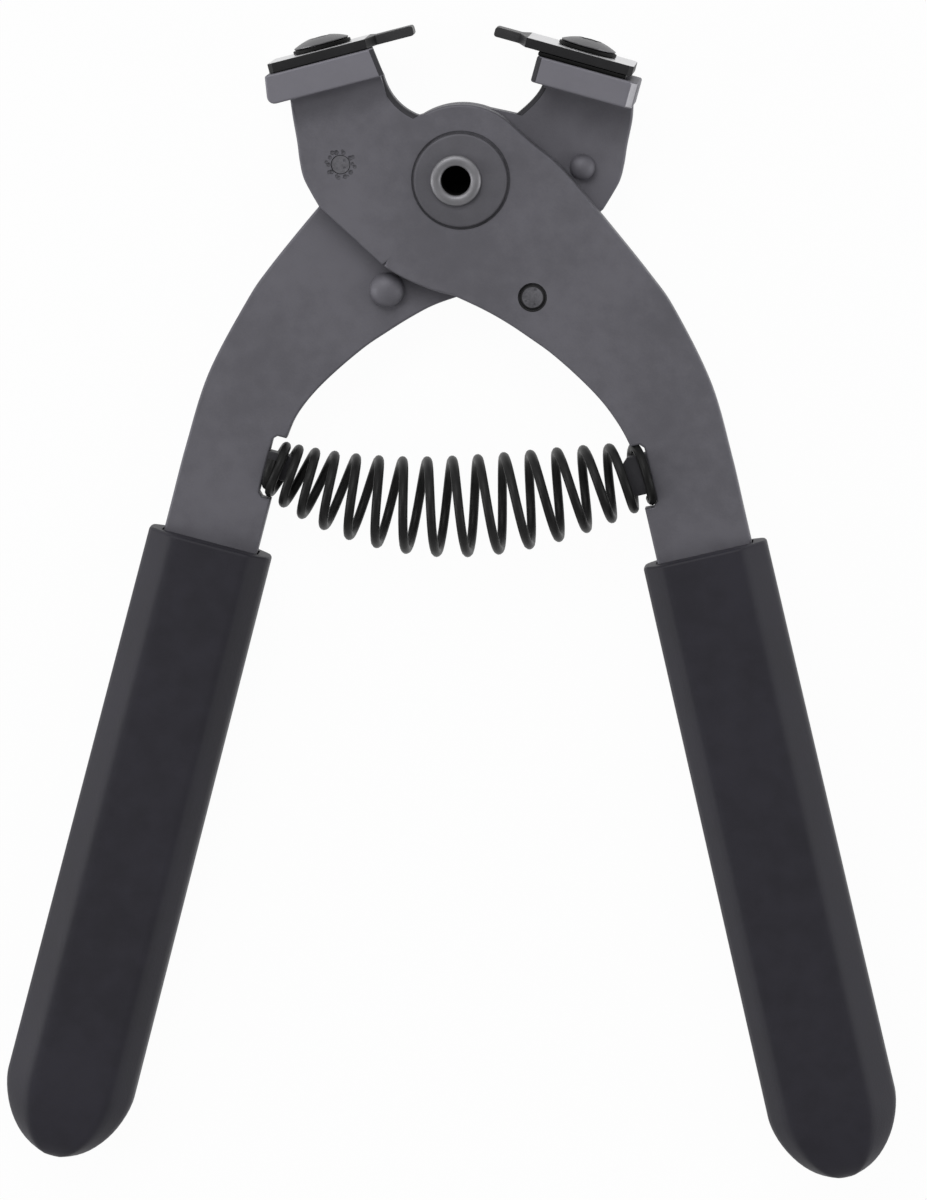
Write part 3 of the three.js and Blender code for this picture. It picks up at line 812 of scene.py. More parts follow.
@dataclass(frozen=True)
class LeverPlan:
    """Plan of a lever, seen from its outer face with the pivot at the origin and the jaw at -X."""

    thickness: float = 4.7
    gap: float = 0.3
    hub_radius: float = 13.55
    throat_corner: tuple[float, float] = (13.8, 124)
    hub_throat_angle: float = 120
    hub_shoulder_angle: float = 53
    grip_top_out: float = 44.7
    grip_top_drop: float = 66.3
    handle_tilt: float = 13.8
    tang_width: float = 17.3
    tang_length: float = 92
    handle_straight_share: float = 0.09
    jaw_out: float = 24.5
    jaw_rise: float = 20.8
    seat_lift: float = 0.0
    seat_tilt: float = 16
    jaw_inner_reach: float = 9.3
    jaw_outer_reach: float = 8.1
    throat_share: float = 0.41
    pad_thickness: float = 5.3
    root_inset: float = 0.7
    root_step: float = 0.07
    screw_place: float = 0.0
    stop_arc_radius: float = 20.8
    stop_arc_start: float = 228
    stop_arc_end: float = 267
    stop_arc_flat: float = 0.46
    nick_angle: float = 1.1
    nick_depth: float = 0.8
    stop_clearance: float = 0.3
    jaw_stop_clearance: float = 0.45
    notch_rise: float = 16.2
    notch_depth: float = 2.35
    notch_corner: float = 0.7
    notch_below: float = 6.1
    notch_above: float = 5.3
    handle_pin: StopPin = StopPin(6.2, 3.1, 4.4, 0.45, (PunchRing(5, 1.4, 0.5, 0.22),))
    handle_pin_angle: float = 303.2
    handle_pin_shift: tuple[float, float] = (0, 0)
    jaw_pin: StopPin = StopPin(4.6, 2.4, 3.2, 0.1, (
        PunchRing(4, 0.95, 0.6, 0.2), PunchRing(10, 2.2, 0.5, 0.3), PunchRing(8, 2.5, 0.55, 0.2)))
    jaw_pin_edge: int = 1
    jaw_pin_share: float = 0.28
    handle_outer_shares: Places = ((0.284, 0.103), (0.392, 0.044), (0.555, -0.08), (0.766, -0.251),
                                   (0.868, -0.348), (1.016, -0.543), (1.103, -0.738))
    handle_inner_shares: Places = ((0.097, -0.35), (0.195, -0.386), (0.289, -0.427), (0.378, -0.469),
                                   (0.49, -0.534), (0.582, -0.597), (0.653, -0.662))
    jaw_outer_shares: Places = ((1.237, 0.514), (1.204, 0.308), (1.184, 0.144), (1.155, 0),
                                (1.098, -0.13), (1.037, -0.25))

    @property
    def inner_face(self) -> float:
        """Height of the face that meets the other lever."""
        return self.gap / 2

    @property
    def outer_face(self) -> float:
        """Height of the face that shows."""
        return self.gap / 2 + self.thickness

    @property
    def middle(self) -> float:
        """Height of the plate's middle."""
        return (self.inner_face + self.outer_face) / 2

    def handle_point(self, across: float, along: float) -> Vector:
        """A point in the handle's frame: across is outwards, along is up, from the top of the grip."""
        return turned_point(across, along, self.handle_tilt, Vector((self.grip_top_out, -self.grip_top_drop)))

    def seat_point(self, out: float, up: float) -> Vector:
        """A point in the jaw seat's frame: out is away from the other jaw, up is off the pad."""
        return turned_point(-out, up, self.seat_tilt, Vector((-self.jaw_out, self.jaw_rise + self.seat_lift)))

    def handle_frame(self) -> Matrix:
        """Moves a mesh from the handle's frame to the plan."""
        place = self.handle_point(0, 0)
        return Matrix.Translation((*place, 0)) @ Matrix.Rotation(math.radians(self.handle_tilt), 4, "Z")

    def seat_frame(self) -> Matrix:
        """Moves a mesh from the jaw seat's frame, with up as its second axis, to the plan.

        Returns:
            The move.
        """
        place = self.seat_point(0, 0)
        return (Matrix.Translation((*place, 0)) @ Matrix.Rotation(math.radians(self.seat_tilt), 4, "Z")
                @ Matrix.Scale(-1, 4, (1, 0, 0)))

    def screw_frame(self, lift: float = 0.0) -> Matrix:
        """Moves a mesh drawn along Z to the blade screw's axis, a lift above the pad."""
        return self.seat_frame() @ Matrix.Translation((self.screw_place, lift, 0)) @ STAND

    @staticmethod
    def scaled(shares: Places, width: float, height: float) -> list[Vector]:
        """Points from their shares of a width and a height."""
        return [Vector((x * width, y * height)) for x, y in shares]

    def handle_pin_place(self) -> Vector:
        """The handle's pin, outside the stop arc."""
        radius = self.stop_arc_radius + self.stop_clearance + self.handle_pin.head / 2
        return polar(radius, self.handle_pin_angle) + Vector(self.handle_pin_shift)

    def jaw_pin_place(self) -> Vector:
        """The jaw's pin, off the outer edge of the other lever's handle.

        Returns:
            Its axis in the plan.
        """
        edge = self.scaled(LeverPlan.handle_outer_shares, -self.grip_top_out, self.grip_top_drop)
        start, end = edge[self.jaw_pin_edge:self.jaw_pin_edge + 2]
        along = end - start
        away = Vector((along.y, -along.x)).normalized()
        clear = away * (self.jaw_pin.head / 2 + self.jaw_stop_clearance)
        return start + along * self.jaw_pin_share + clear

    def outline(self, steps: int = 8) -> Outline:
        """The plate's plan.

        Args:
            steps: the number of runs in each stretch of a free curve.

        Returns:
            The outline, from the jaw's inner edge round the handle and back.
        """
        half = self.tang_width / 2
        floor = -half + self.notch_depth
        plan = Outline(self.seat_point(self.root_inset - self.jaw_inner_reach, -self.pad_thickness / 2))
        plan.line(self.seat_point(self.root_step - self.jaw_inner_reach, -self.pad_thickness))
        throat_drop = self.pad_thickness + self.throat_share * self.hub_radius
        lean = self.seat_point(-self.jaw_inner_reach, -throat_drop)
        plan.bend(lean, polar(*self.throat_corner), 2 * steps)
        plan.arc(Vector((0, 0)), self.hub_radius, self.hub_throat_angle, self.hub_shoulder_angle, 3 * steps)
        plan.spline([*self.scaled(self.handle_outer_shares, self.grip_top_out, self.grip_top_drop),
                     self.handle_point(half, self.handle_straight_share * self.grip_top_drop)], steps)
        plan.line(self.handle_point(half, -self.grip_top_drop / 2))
        plan.arc(self.handle_point(0, -self.tang_length + half), half, self.handle_tilt,
                 self.handle_tilt - 180, 3 * steps)
        corner = self.notch_corner
        for along, across in ((-self.notch_below, -half), (-self.notch_below, floor - corner),
                              (corner - self.notch_below, floor), (self.notch_above - corner, floor),
                              (self.notch_above, floor - corner), (self.notch_above, -half)):
            plan.line(self.handle_point(across, self.notch_rise + along))
        inner = self.scaled(self.handle_inner_shares, self.grip_top_out, self.grip_top_drop)
        plan.spline([*reversed(inner), polar(self.stop_arc_radius, self.stop_arc_end)], steps)
        for i in range(1, 2 * steps + 1):
            share = i / (2 * steps)
            radius = self.stop_arc_radius - self.stop_arc_flat * math.sin(math.pi * share)
            sweep = self.stop_arc_start + self.nick_angle - self.stop_arc_end
            plan.line(polar(radius, self.stop_arc_end + sweep * share))
        plan.line(polar(self.stop_arc_radius - self.nick_depth, self.stop_arc_start + self.nick_angle / 2),
                  polar(self.stop_arc_radius, self.stop_arc_start))
        outer = self.scaled(self.jaw_outer_shares, -self.jaw_out, self.jaw_rise)[::-1]
        plan.line(outer[0])
        plan.spline([*outer[1:], self.seat_point(self.jaw_outer_reach - self.root_step, -self.pad_thickness)],
                    steps)
        plan.line(self.seat_point(self.jaw_outer_reach - self.root_inset, -self.pad_thickness / 2))
        return plan


PLAN = LeverPlan()

# How far the back lever's handle edges lie off the front one's, as shares of the same sizes
BACK_OUTER_SHARES = (0, 0.018, 0.018, 0.008, 0, 0, 0)
BACK_INNER_OUT_SHARE = 0.0067
BACK_INNER_UP_SHARE = 0.0053

PLANS = {
    Side.FRONT: replace(PLAN, seat_lift=0.5, seat_tilt=15.4, pad_thickness=5.3, screw_place=0.4,
                        handle_pin_shift=(-0.1, -0.6)),
    Side.BACK: replace(
        PLAN, seat_lift=-0.85, seat_tilt=14.6, pad_thickness=4.8, screw_place=-3.1, jaw_outer_reach=7.5,
        throat_corner=(15.1, 129.1), throat_share=0.2, hub_throat_angle=111,
        handle_outer_shares=tuple(
            (x + shift, y) for (x, y), shift in zip(PLAN.handle_outer_shares, BACK_OUTER_SHARES)),
        handle_inner_shares=tuple(
            (x + BACK_INNER_OUT_SHARE, y + BACK_INNER_UP_SHARE) for x, y in PLAN.handle_inner_shares)),
}


@dataclass(frozen=True)
class Lever:
    """The forged plate with its jaw pad, spring tab and holes."""

    side: Side
    pad_inner: float
    pad_outer: float
    pad_depth: float = 20
    pad_edge: float = 0.4
    pad_end_edge: float = 0.0
    pad_end_lean: float = 0.0
    pad_end_steps: int = 5
    pad_flare: float = 0.0
    pad_draft: float = 0.0
    pad_facet: float = 0.0
    plate_edge: float = 0.45
    outer_fillet_height: float = 6
    inner_fillet: float = 1
    fillet_inset: float = 0.4
    fillet_setback: float = 0.44
    fillet_steps: int = 12
    staking_depth: float = 0.5
    staking_width: float = 0.42
    groove_inner: float = 8.0
    groove_outer: float = 8.9
    groove_depth: float = 0.2
    groove_steps: int = 72
    throat_edge: float = 0.9
    throat_margin: float = 0.2
    throat_start: float = 1
    throat_reach: float = 12
    tab_width: float = 4.6
    tab_length: float = 5.2
    tab_inset: float = 0.1
    tab_edge: float = 0.225
    tab_edge_steps: int = 2
    steps: int = 48

    def plate(self) -> bpy.types.Object:
        """The flat plate with its rims softened, and more so along the throat, whose bevels get painted
        shade.

        Returns:
            The plate, in the lever's drawing.
        """
        bm = prism(self.side.plan.outline().points, PLAN.inner_face, PLAN.outer_face)
        at_face = lying_at("z", PLAN.inner_face, PLAN.outer_face)
        rims = [edge for edge in bm.edges if at_face(edge)]
        throat = [edge for edge in rims if all(self.in_throat(vert.co) for vert in edge.verts)]
        rest = [edge for edge in rims if edge not in throat]
        rounded(bm, lambda edge: edge in throat, self.throat_edge)
        # The throat's slanted bevels get painted shade
        slanted = [face for face in bm.faces if ALIGNED < abs(face.normal.z) < 1 - ALIGNED]
        paint(slanted, LEVER_FINISHES, THROAT_SHADE_STEEL)
        rounded(bm, lambda edge: edge in rest, self.plate_edge)
        return solid(bm, *LEVER_FINISHES)

    def in_throat(self, point: Vector) -> bool:
        """Whether a corner of the plate lies on the hollow between the hub and the pad.

        Args:
            point: the corner.

        Returns:
            True where it does.
        """
        radius, angle = self.side.plan.throat_corner
        turn = math.degrees(math.atan2(point.y, point.x)) - angle
        return point.xy.length > radius - self.throat_margin and -self.throat_start < turn < self.throat_reach

    def pad(self) -> bpy.types.Object:
        """The thick pad that the blade lies on, with its forged ends, a painted highlight on its outer facet
        and painted shade on its inner end.

        Returns:
            The pad, in the lever's drawing.
        """
        deep, bottom = self.pad_depth / 2, -self.side.plan.pad_thickness
        bm = block(Vector((self.pad_inner, bottom, -deep)), Vector((self.pad_outer, 0, deep)))
        front = deep if self.side is Side.FRONT else -deep
        for vert in bm.verts:
            if vert.co.y < bottom / 2:
                vert.co.x += self.pad_end_lean if vert.co.x > 0 else -self.pad_flare
            if vert.co.x < 0 and vert.co.z * front < 0:
                vert.co.x += self.pad_draft
        at_front, outer, inner = lying_at("z", front), beyond("x", 1), beyond("x", -1)
        if self.pad_end_edge:
            rounded(bm, both(lying_at("y", bottom), outer), self.pad_end_edge, self.pad_end_steps)
        if self.pad_facet:
            rounded(bm, both(at_front, outer), self.pad_facet, segments=1)
        rounded(bm, both(at_front, inner), self.throat_edge)
        # Painted highlight on the pad's slanted outer facet, and painted shade on its inner end and the bevel
        # beside it
        facet = [face for face in bm.faces if face.normal.x > TILTED and abs(face.normal.z) > TILTED]
        paint(facet, LEVER_FINISHES, FACET_HIGHLIGHT_STEEL)
        paint([face for face in bm.faces if face.normal.x < -TILTED], LEVER_FINISHES, THROAT_SHADE_STEEL)
        rounded(bm, sharp, self.pad_edge)
        return solid(moved(bm, self.side.plan.seat_frame()))

    def fillet(self, height: float, face: float, depth: float) -> bpy.types.Object:
        """A hollow curve from the plate's face up to the pad.

        Args:
            height: how far it comes down the plate.
            face: the height of the plate's face.
            depth: how far it stands off that face, signed.

        Returns:
            The solid.
        """
        plan = self.side.plan
        low = self.fillet_inset - plan.jaw_inner_reach
        high = min(plan.jaw_outer_reach, self.pad_outer) - self.fillet_inset
        into = -math.copysign(FITS.overrun, depth)
        section = Outline(Vector((into, FITS.overrun)))
        section.line(Vector((into, -height)), Vector((0, -height)))
        section.bend(Vector((0, 0)), Vector((depth, 0)), self.fillet_steps)
        section.line(Vector((depth, FITS.overrun)))
        root = plan.seat_frame() @ Matrix.Translation((0, -plan.pad_thickness, face))
        return solid(moved(prism(section.points, low, high), root @ X_FOR_Z))

    def tab(self) -> bpy.types.Object:
        """The tab on the notch floor that the spring slips over, darkened all over with painted shade.

        Returns:
            The tab, in the lever's drawing.
        """
        root = -PLAN.tang_width / 2 + PLAN.notch_depth
        half, tip = self.tab_width / 2, root - self.tab_length
        corners = ((root + FITS.overrun, -half), (root + FITS.overrun, half), (tip + half / 2, half),
                   (tip, half / 2), (tip, -half / 2), (tip + half / 2, -half))
        points = [PLAN.handle_point(across, PLAN.notch_rise + along) for across, along in corners]
        bm = prism(points, PLAN.inner_face + self.tab_inset, PLAN.outer_face - self.tab_inset)
        rounded(bm, sharp, self.tab_edge, self.tab_edge_steps)
        # Painted shade: the whole tab is darkened, as it sits in shade inside the spring's end coils
        paint(bm.faces, LEVER_FINISHES, THROAT_SHADE_STEEL)
        return solid(bm)

    def hole(self, place: Vector, radius: float, low: float, high: float,
             finish: Finish = PLATE_STEEL) -> bpy.types.Object:
        """A round cutter along the pivot's axis.

        Args:
            place: its axis in the plan.
            radius: its radius.
            low: where it starts.
            high: where it ends.
            finish: the finish that it leaves.

        Returns:
            The cutter.
        """
        bm = plug(radius, low, high, self.steps)
        paint(bm.faces, LEVER_FINISHES, finish)
        return solid(moved(bm, Matrix.Translation((*place, 0))))

    def screw_hole(self) -> bpy.types.Object:
        """The cutter for the blade screw's hole."""
        bm = plug(FITS.screw_hole, -FITS.screw_hole_depth, FITS.overrun, self.steps)
        return solid(moved(bm, self.side.plan.screw_frame()))

    def hub_groove(self) -> bpy.types.Object:
        """The cutter for the narrow groove that the pivot washer's rim lies in.

        Returns:
            The cutter.
        """
        low, high = PLAN.outer_face - self.groove_depth, PLAN.outer_face + FITS.overrun
        bm = lathe([(self.groove_inner, low), (self.groove_outer, low), (self.groove_outer, high),
                    (self.groove_inner, high), (self.groove_inner, low)], self.groove_steps)
        # The groove gets the darker struck steel: painted shadow along the washer's rim
        paint(bm.faces, LEVER_FINISHES, STRUCK_SHADE_STEEL)
        return solid(bm)

    def cutters(self) -> list[bpy.types.Object]:
        """The cutters for all holes, grooves and marks.

        Returns:
            The cutters, in the order of their use.
        """
        low, high = -FITS.overrun, PLAN.outer_face + FITS.overrun
        handle_place, jaw_place = self.side.plan.handle_pin_place(), self.side.plan.jaw_pin_place()
        staked = PLAN.handle_pin.shank / 2 + self.staking_width
        return [
            self.hole(Vector((0, 0)), FITS.rivet_hole, low, high),
            self.screw_hole(),
            self.hub_groove(),
            self.hole(handle_place, (PLAN.handle_pin.shank + FITS.clearance) / 2, low, high),
            self.hole(jaw_place, (PLAN.jaw_pin.shank + FITS.clearance) / 2, low, high),
            # The staking counterbore's faces get painted shade
            self.hole(handle_place, staked, PLAN.outer_face - self.staking_depth, high, GROOVE_SHADE_STEEL),
            *(ring.cutter(jaw_place, PLAN.outer_face, LEVER_FINISHES) for ring in PLAN.jaw_pin.marks),
        ]

    def build(self) -> bpy.types.Object:
        """Builds and dresses the lever.

        Returns:
            The finished lever.
        """
        lever = self.plate()
        stand_off = self.pad_depth / 2 - PLAN.outer_face - self.fillet_setback
        outer_fillet = self.fillet(self.outer_fillet_height, PLAN.outer_face, stand_off)
        inner_fillet = self.fillet(self.inner_fillet, PLAN.inner_face, -self.inner_fillet)
        combine(lever, Cut.ADD, self.pad(), outer_fillet, inner_fillet, self.tab())
        combine(lever, Cut.TAKE, *self.cutters())
        name = self.side.value
        piece = Piece(f"{name}_forging", self.side.body, f"{name}_lever", "lever_steel")
        return piece.finish(lever, self.side.placed())


@dataclass(frozen=True)
class StopPins:
    """The two stop pins of a lever."""

    side: Side
    end_recess: float = 0.12
    end_depth: float = 0.7
    end_swell: float = 0.12
    rim_share: float = 0.35
    steps: int = 40
    dome_steps: int = 10

    def pin(self, sizes: StopPin, place: Vector, label: str) -> bpy.types.Object:
        """Builds one pin.

        Args:
            sizes: the pin's sizes.
            place: its axis in the plan.
            label: the word for where it sits.

        Returns:
            The object.
        """
        head, shank = sizes.head / 2, sizes.shank / 2
        head_start = PLAN.inner_face - FITS.seat_gap
        rim = head_start - sizes.head_height * self.rim_share
        dome = sizes.head_height * (1 - self.rim_share)
        end, swollen = PLAN.outer_face - self.end_recess, shank + self.end_swell
        profile = [(0.0, head_start - sizes.head_height)]
        for i in range(1, self.dome_steps + 1):
            angle = i / self.dome_steps * math.pi / 2
            profile.append((head * math.sin(angle), rim - dome * math.cos(angle)))
        profile += [(head, head_start), (shank, head_start), (shank, end - self.end_depth),
                    (swollen, end - sizes.end_edge), (swollen - sizes.end_edge, end), (0.0, end)]
        bm = lathe(profile, self.steps)
        shown = [face for face in bm.faces if face.calc_center_median().z > PLAN.middle]
        struck = [face for face in shown if face.calc_center_median().xy.length < shank - sizes.end_edge]
        # The pin's outer part in the counterbore gets painted shade; its struck end keeps its own staked
        # steel
        paint(shown, PIN_FINISHES, GROOVE_SHADE_STEEL)
        paint(struck, PIN_FINISHES, STAKED_STEEL)
        pin = solid(moved(bm, Matrix.Translation((*place, 0))), *PIN_FINISHES)
        for ring in sizes.marks:
            combine(pin, Cut.TAKE, ring.cutter(place, PLAN.outer_face, PIN_FINISHES))
        name = self.side.value
        piece = Piece(f"{name}_{label}_pin", self.side.body, f"{name}_{label}_stop_pin", "lever_steel")
        return piece.finish(pin, self.side.placed())

    def build(self) -> None:
        """Builds both pins."""
        self.pin(PLAN.handle_pin, self.side.plan.handle_pin_place(), "handle")
        self.pin(PLAN.jaw_pin, self.side.plan.jaw_pin_place(), "jaw")


@dataclass(frozen=True)
class Blade:
    """A blade plate with its washer and dome-head screw."""

    side: Side
    tip: float
    shoulder: float
    outer: float
    lift: float = 0.0
    thickness: float = 1.8
    width: float = 18.8
    nose_width: float = 6
    nose_taper: float = 1.5
    nose_edge: float = 0.5
    corner: float = 0.8
    edge: float = 0.15
    edge_steps: int = 2
    washer_diameter: float = 10.6
    washer_thickness: float = 0.6
    head: float = 10.0
    head_rim: float = 0.3
    head_height: float = 1.5
    socket: float = 4
    socket_depth: float = 1.1
    socket_sides: int = 6
    socket_point_share: float = 1 / 3
    # Where the near-black strip of painted shadow under a raised blade starts and ends, along the seat
    gap_shade_reach: tuple[float, float] = (-11.2, 5.0)
    steps: int = 64
    dome_steps: int = 14

    def upright(self, bm: bmesh.types.BMesh) -> bmesh.types.BMesh:
        """Stands a mesh drawn along Z on the jaw's seat at the screw."""
        return moved(bm, self.side.plan.screw_frame(self.lift))

    def hole(self) -> bpy.types.Object:
        """The cutter for the screw's hole through the plate and the near-black strip under it."""
        top = FITS.seat_gap + self.thickness + FITS.overrun
        return solid(self.upright(plug(FITS.screw_hole, -FITS.overrun, top, self.steps)))

    def dressed(self, made: bpy.types.Object, label: str, node: str, slot: str) -> bpy.types.Object:
        """Names a piece for its jaw and puts it in place.

        Args:
            made: the object.
            label: the word for what it is.
            node: the word for it in its node's name, or nothing where it has no node.
            slot: its material slot.

        Returns:
            The object.
        """
        jaw = self.side.jaw
        piece = Piece(f"{jaw}_{label}", self.side.body, f"{jaw}_{node}" if node else "", slot)
        return piece.finish(made, self.side.placed())

    def plate(self) -> bpy.types.Object:
        """The blade plate: a wide body and a narrow nose with a bevelled tip.

        Returns:
            The finished plate.
        """
        half, nose, low = self.width / 2, self.nose_width / 2, FITS.seat_gap
        top = low + self.thickness
        plan = Outline(Vector((self.outer, -half + self.corner)))
        plan.line(Vector((self.outer, half - self.corner)), Vector((self.outer - self.corner, half)),
                  Vector((self.shoulder, half)), Vector((self.shoulder - self.nose_taper, nose)),
                  Vector((self.tip, nose)), Vector((self.tip, -nose)),
                  Vector((self.shoulder - self.nose_taper, -nose)), Vector((self.shoulder, -half)),
                  Vector((self.outer - self.corner, -half)))
        bm = prism(plan.points, low, top)
        bmesh.ops.bisect_plane(bm, geom=bm.verts[:] + bm.edges[:] + bm.faces[:], dist=SAME_PLACE,
                               plane_co=(self.shoulder, 0, 0), plane_no=(1, 0, 0))
        at_face = lying_at("z", low, top)
        rounded(bm, both(lying_at("x", self.tip), at_face), self.nose_edge)
        centres = [(face, face.calc_center_median().x) for face in bm.faces]
        ground = [face for face, place in centres if face.normal.z > 1 - ALIGNED and place > self.shoulder]
        paint(ground, BLADE_FINISHES, GROUND_STEEL)
        nose_start = self.shoulder - self.nose_taper / 2
        paint([face for face, place in centres if place < nose_start], BLADE_FINISHES, NOSE_STEEL)
        rounded(bm, both(at_face, sharp), self.edge, self.edge_steps)
        lie = self.side.plan.seat_frame() @ Matrix.Translation((0, self.lift, 0)) @ STAND
        blade = solid(moved(bm, lie), *BLADE_FINISHES)
        combine(blade, Cut.TAKE, self.hole())
        return self.dressed(blade, "blade_plate", "blade", "blade_steel")

    def washer(self) -> bpy.types.Object:
        """The thin washer under the screw's head.

        Returns:
            The finished washer.
        """
        low = 2 * FITS.seat_gap + self.thickness
        high, hole, rim = low + self.washer_thickness, FITS.screw_hole, self.washer_diameter / 2
        soft = self.edge / 2
        bm = lathe([(hole, low), (rim - soft, low), (rim, low + soft), (rim, high - soft), (rim - soft, high),
                    (hole, high), (hole, low)], self.steps)
        # Near-black: black oxide, partly painted shade for the dark line under the screw's head
        washer = solid(self.upright(bm), OXIDE_AND_SHADE_STEEL)
        return self.dressed(washer, "blade_washer", "screw_washer", "washer_steel")

    def screw(self) -> bpy.types.Object:
        """The dome-head screw with its six-sided socket.

        Returns:
            The finished screw.
        """
        base = 3 * FITS.seat_gap + self.thickness + self.washer_thickness
        tip, top = FITS.clearance - FITS.screw_hole_depth, base + self.head_height
        shank, head = FITS.screw_shank / 2, self.head / 2
        profile = [(0.0, tip), (shank, tip), (shank, base), (head - self.edge, base),
                   (head, base + self.edge)]
        rise = self.head_height - self.head_rim
        ball = (head ** 2 + rise ** 2) / (2 * rise)
        spread = math.asin(head / ball)
        for i in range(self.dome_steps + 1):
            angle = spread * (1 - i / self.dome_steps)
            profile.append((ball * math.sin(angle), top - ball * (1 - math.cos(angle))))
        screw = solid(self.upright(lathe(profile, self.steps)), SCREW_STEEL)
        radius = self.socket / 2 / math.cos(math.pi / self.socket_sides)
        floor = top - self.socket_depth
        socket = lathe([(0, floor - radius * self.socket_point_share), (radius, floor),
                        (radius, top + FITS.overrun), (0, top + FITS.overrun)], self.socket_sides)
        combine(screw, Cut.TAKE, solid(self.upright(socket)))
        return self.dressed(screw, "dome_screw", "blade_screw", "screw_steel")

    def gap_shade_strip(self) -> bpy.types.Object:
        """The thin near-black strip that fills the space under a raised blade: painted shadow for the gap
        between the blade and the pad.

        Returns:
            The finished strip.
        """
        half = self.width / 2 - self.edge
        low, high = self.gap_shade_reach
        bm = block(Vector((low, FITS.seat_gap, -half)), Vector((high, self.lift, half)))
        rounded(bm, sharp, self.edge, self.edge_steps)
        strip = solid(moved(bm, self.side.plan.seat_frame()), OXIDE_AND_SHADE_STEEL)
        combine(strip, Cut.TAKE, self.hole())
        return self.dressed(strip, "blade_gap_shade_strip", "", "washer_steel")

    def build(self) -> None:
        """Builds the plate, the washer and the screw, and under a raised blade the near-black strip that is
        painted shadow for the gap.
        """
        self.plate()
        self.washer()
        self.screw()
        if self.lift:
            self.gap_shade_strip()


@dataclass(frozen=True)
class Hub:
    """The pivot: a hollow rivet with a rolled rim, and a washer on each outer face."""

    bore: float = 5.3
    bore_depth: float = 9
    rim: float = 9.1
    rim_height: float = 1.1
    rim_shift: float = -0.82
    head: float = 12
    head_height: float = 2
    head_rim_share: float = 0.3
    washer_diameter: float = 16.9
    washer_thickness: float = 0.8
    washer_edge: float = 0.55
    washer_knuckle_share: float = 0.3
    washer_shift: float = -0.05
    steps: int = 72
    round_steps: int = 12

    def rivet(self) -> bpy.types.Object:
        """The rivet, with its rolled rim and bore a little off the shank's axis.

        Returns:
            The finished rivet.
        """
        bore, rim, shank, head = self.bore / 2, self.rim / 2, FITS.rivet_shank / 2, self.head / 2
        outer = PLAN.outer_face + 2 * FITS.seat_gap + self.washer_thickness
        floor = outer + self.rim_height - self.bore_depth
        middle, half = (rim + bore) / 2, (rim - bore) / 2
        profile = [(0.0, floor), (bore, floor), (bore, outer)]
        for i in range(self.round_steps + 1):
            angle = math.pi * (1 - i / self.round_steps)
            rise = self.rim_height * (1 + math.sin(angle)) / 2
            profile.append((middle + half * math.cos(angle), outer + rise))
        profile += [(rim, outer), (shank, outer), (shank, -outer), (head, -outer)]
        for i in range(self.round_steps):
            angle = i / self.round_steps * math.pi / 2
            rise = self.head_rim_share + (1 - self.head_rim_share) * math.sin(angle)
            profile.append((head * math.cos(angle), -outer - self.head_height * rise))
        profile.append((0.0, -outer - self.head_height))
        bm = lathe(profile, self.steps)
        centres = [(face, face.calc_center_median()) for face in bm.faces]
        mouth = outer + self.rim_height / 2
        # The bore's wall and floor get painted shade
        dark = [face for face, centre in centres
                if centre.xy.length < bore + SLACK and floor - SLACK < centre.z < mouth]
        paint(dark, RIVET_FINISHES, BORE_SHADE_BLACK)
        dome = [face for face, centre in centres if centre.z < SLACK - outer]
        paint(dome, RIVET_FINISHES, BUTTON_STEEL)
        hollow = [vert for vert in bm.verts
                  if vert.co.z > floor - SLACK and abs(vert.co.xy.length - shank) > SLACK]
        bmesh.ops.translate(bm, verts=hollow, vec=(self.rim_shift, 0, 0))
        piece = Piece("hollow_rivet", Side.BACK.body, "pivot_rivet", "rivet_steel")
        return piece.finish(solid(bm, *RIVET_FINISHES), Side.FRONT.placed())

    def washer(self, side: Side) -> bpy.types.Object:
        """The washer on a lever's outer face.

        Args:
            side: the lever.

        Returns:
            The finished washer.
        """
        low = PLAN.outer_face + FITS.seat_gap
        high, hole, rim = low + self.washer_thickness, FITS.rivet_hole, self.washer_diameter / 2
        soft, knuckle = self.washer_edge, self.washer_edge * self.washer_knuckle_share
        bm = lathe([(hole, low), (rim, low), (rim, high - soft), (rim - knuckle, high - knuckle),
                    (rim - soft, high), (hole, high), (hole, low)], self.steps)
        moved(bm, Matrix.Translation((self.washer_shift, 0, 0)))
        piece = Piece(f"{side.value}_hub_ring", side.body, f"{side.value}_pivot_washer", "lever_steel")
        return piece.finish(solid(bm, WASHER_STEEL), side.placed())

    def build(self) -> None:
        """Builds the rivet and both washers."""
        self.rivet()
        for side in Side:
            self.washer(side)


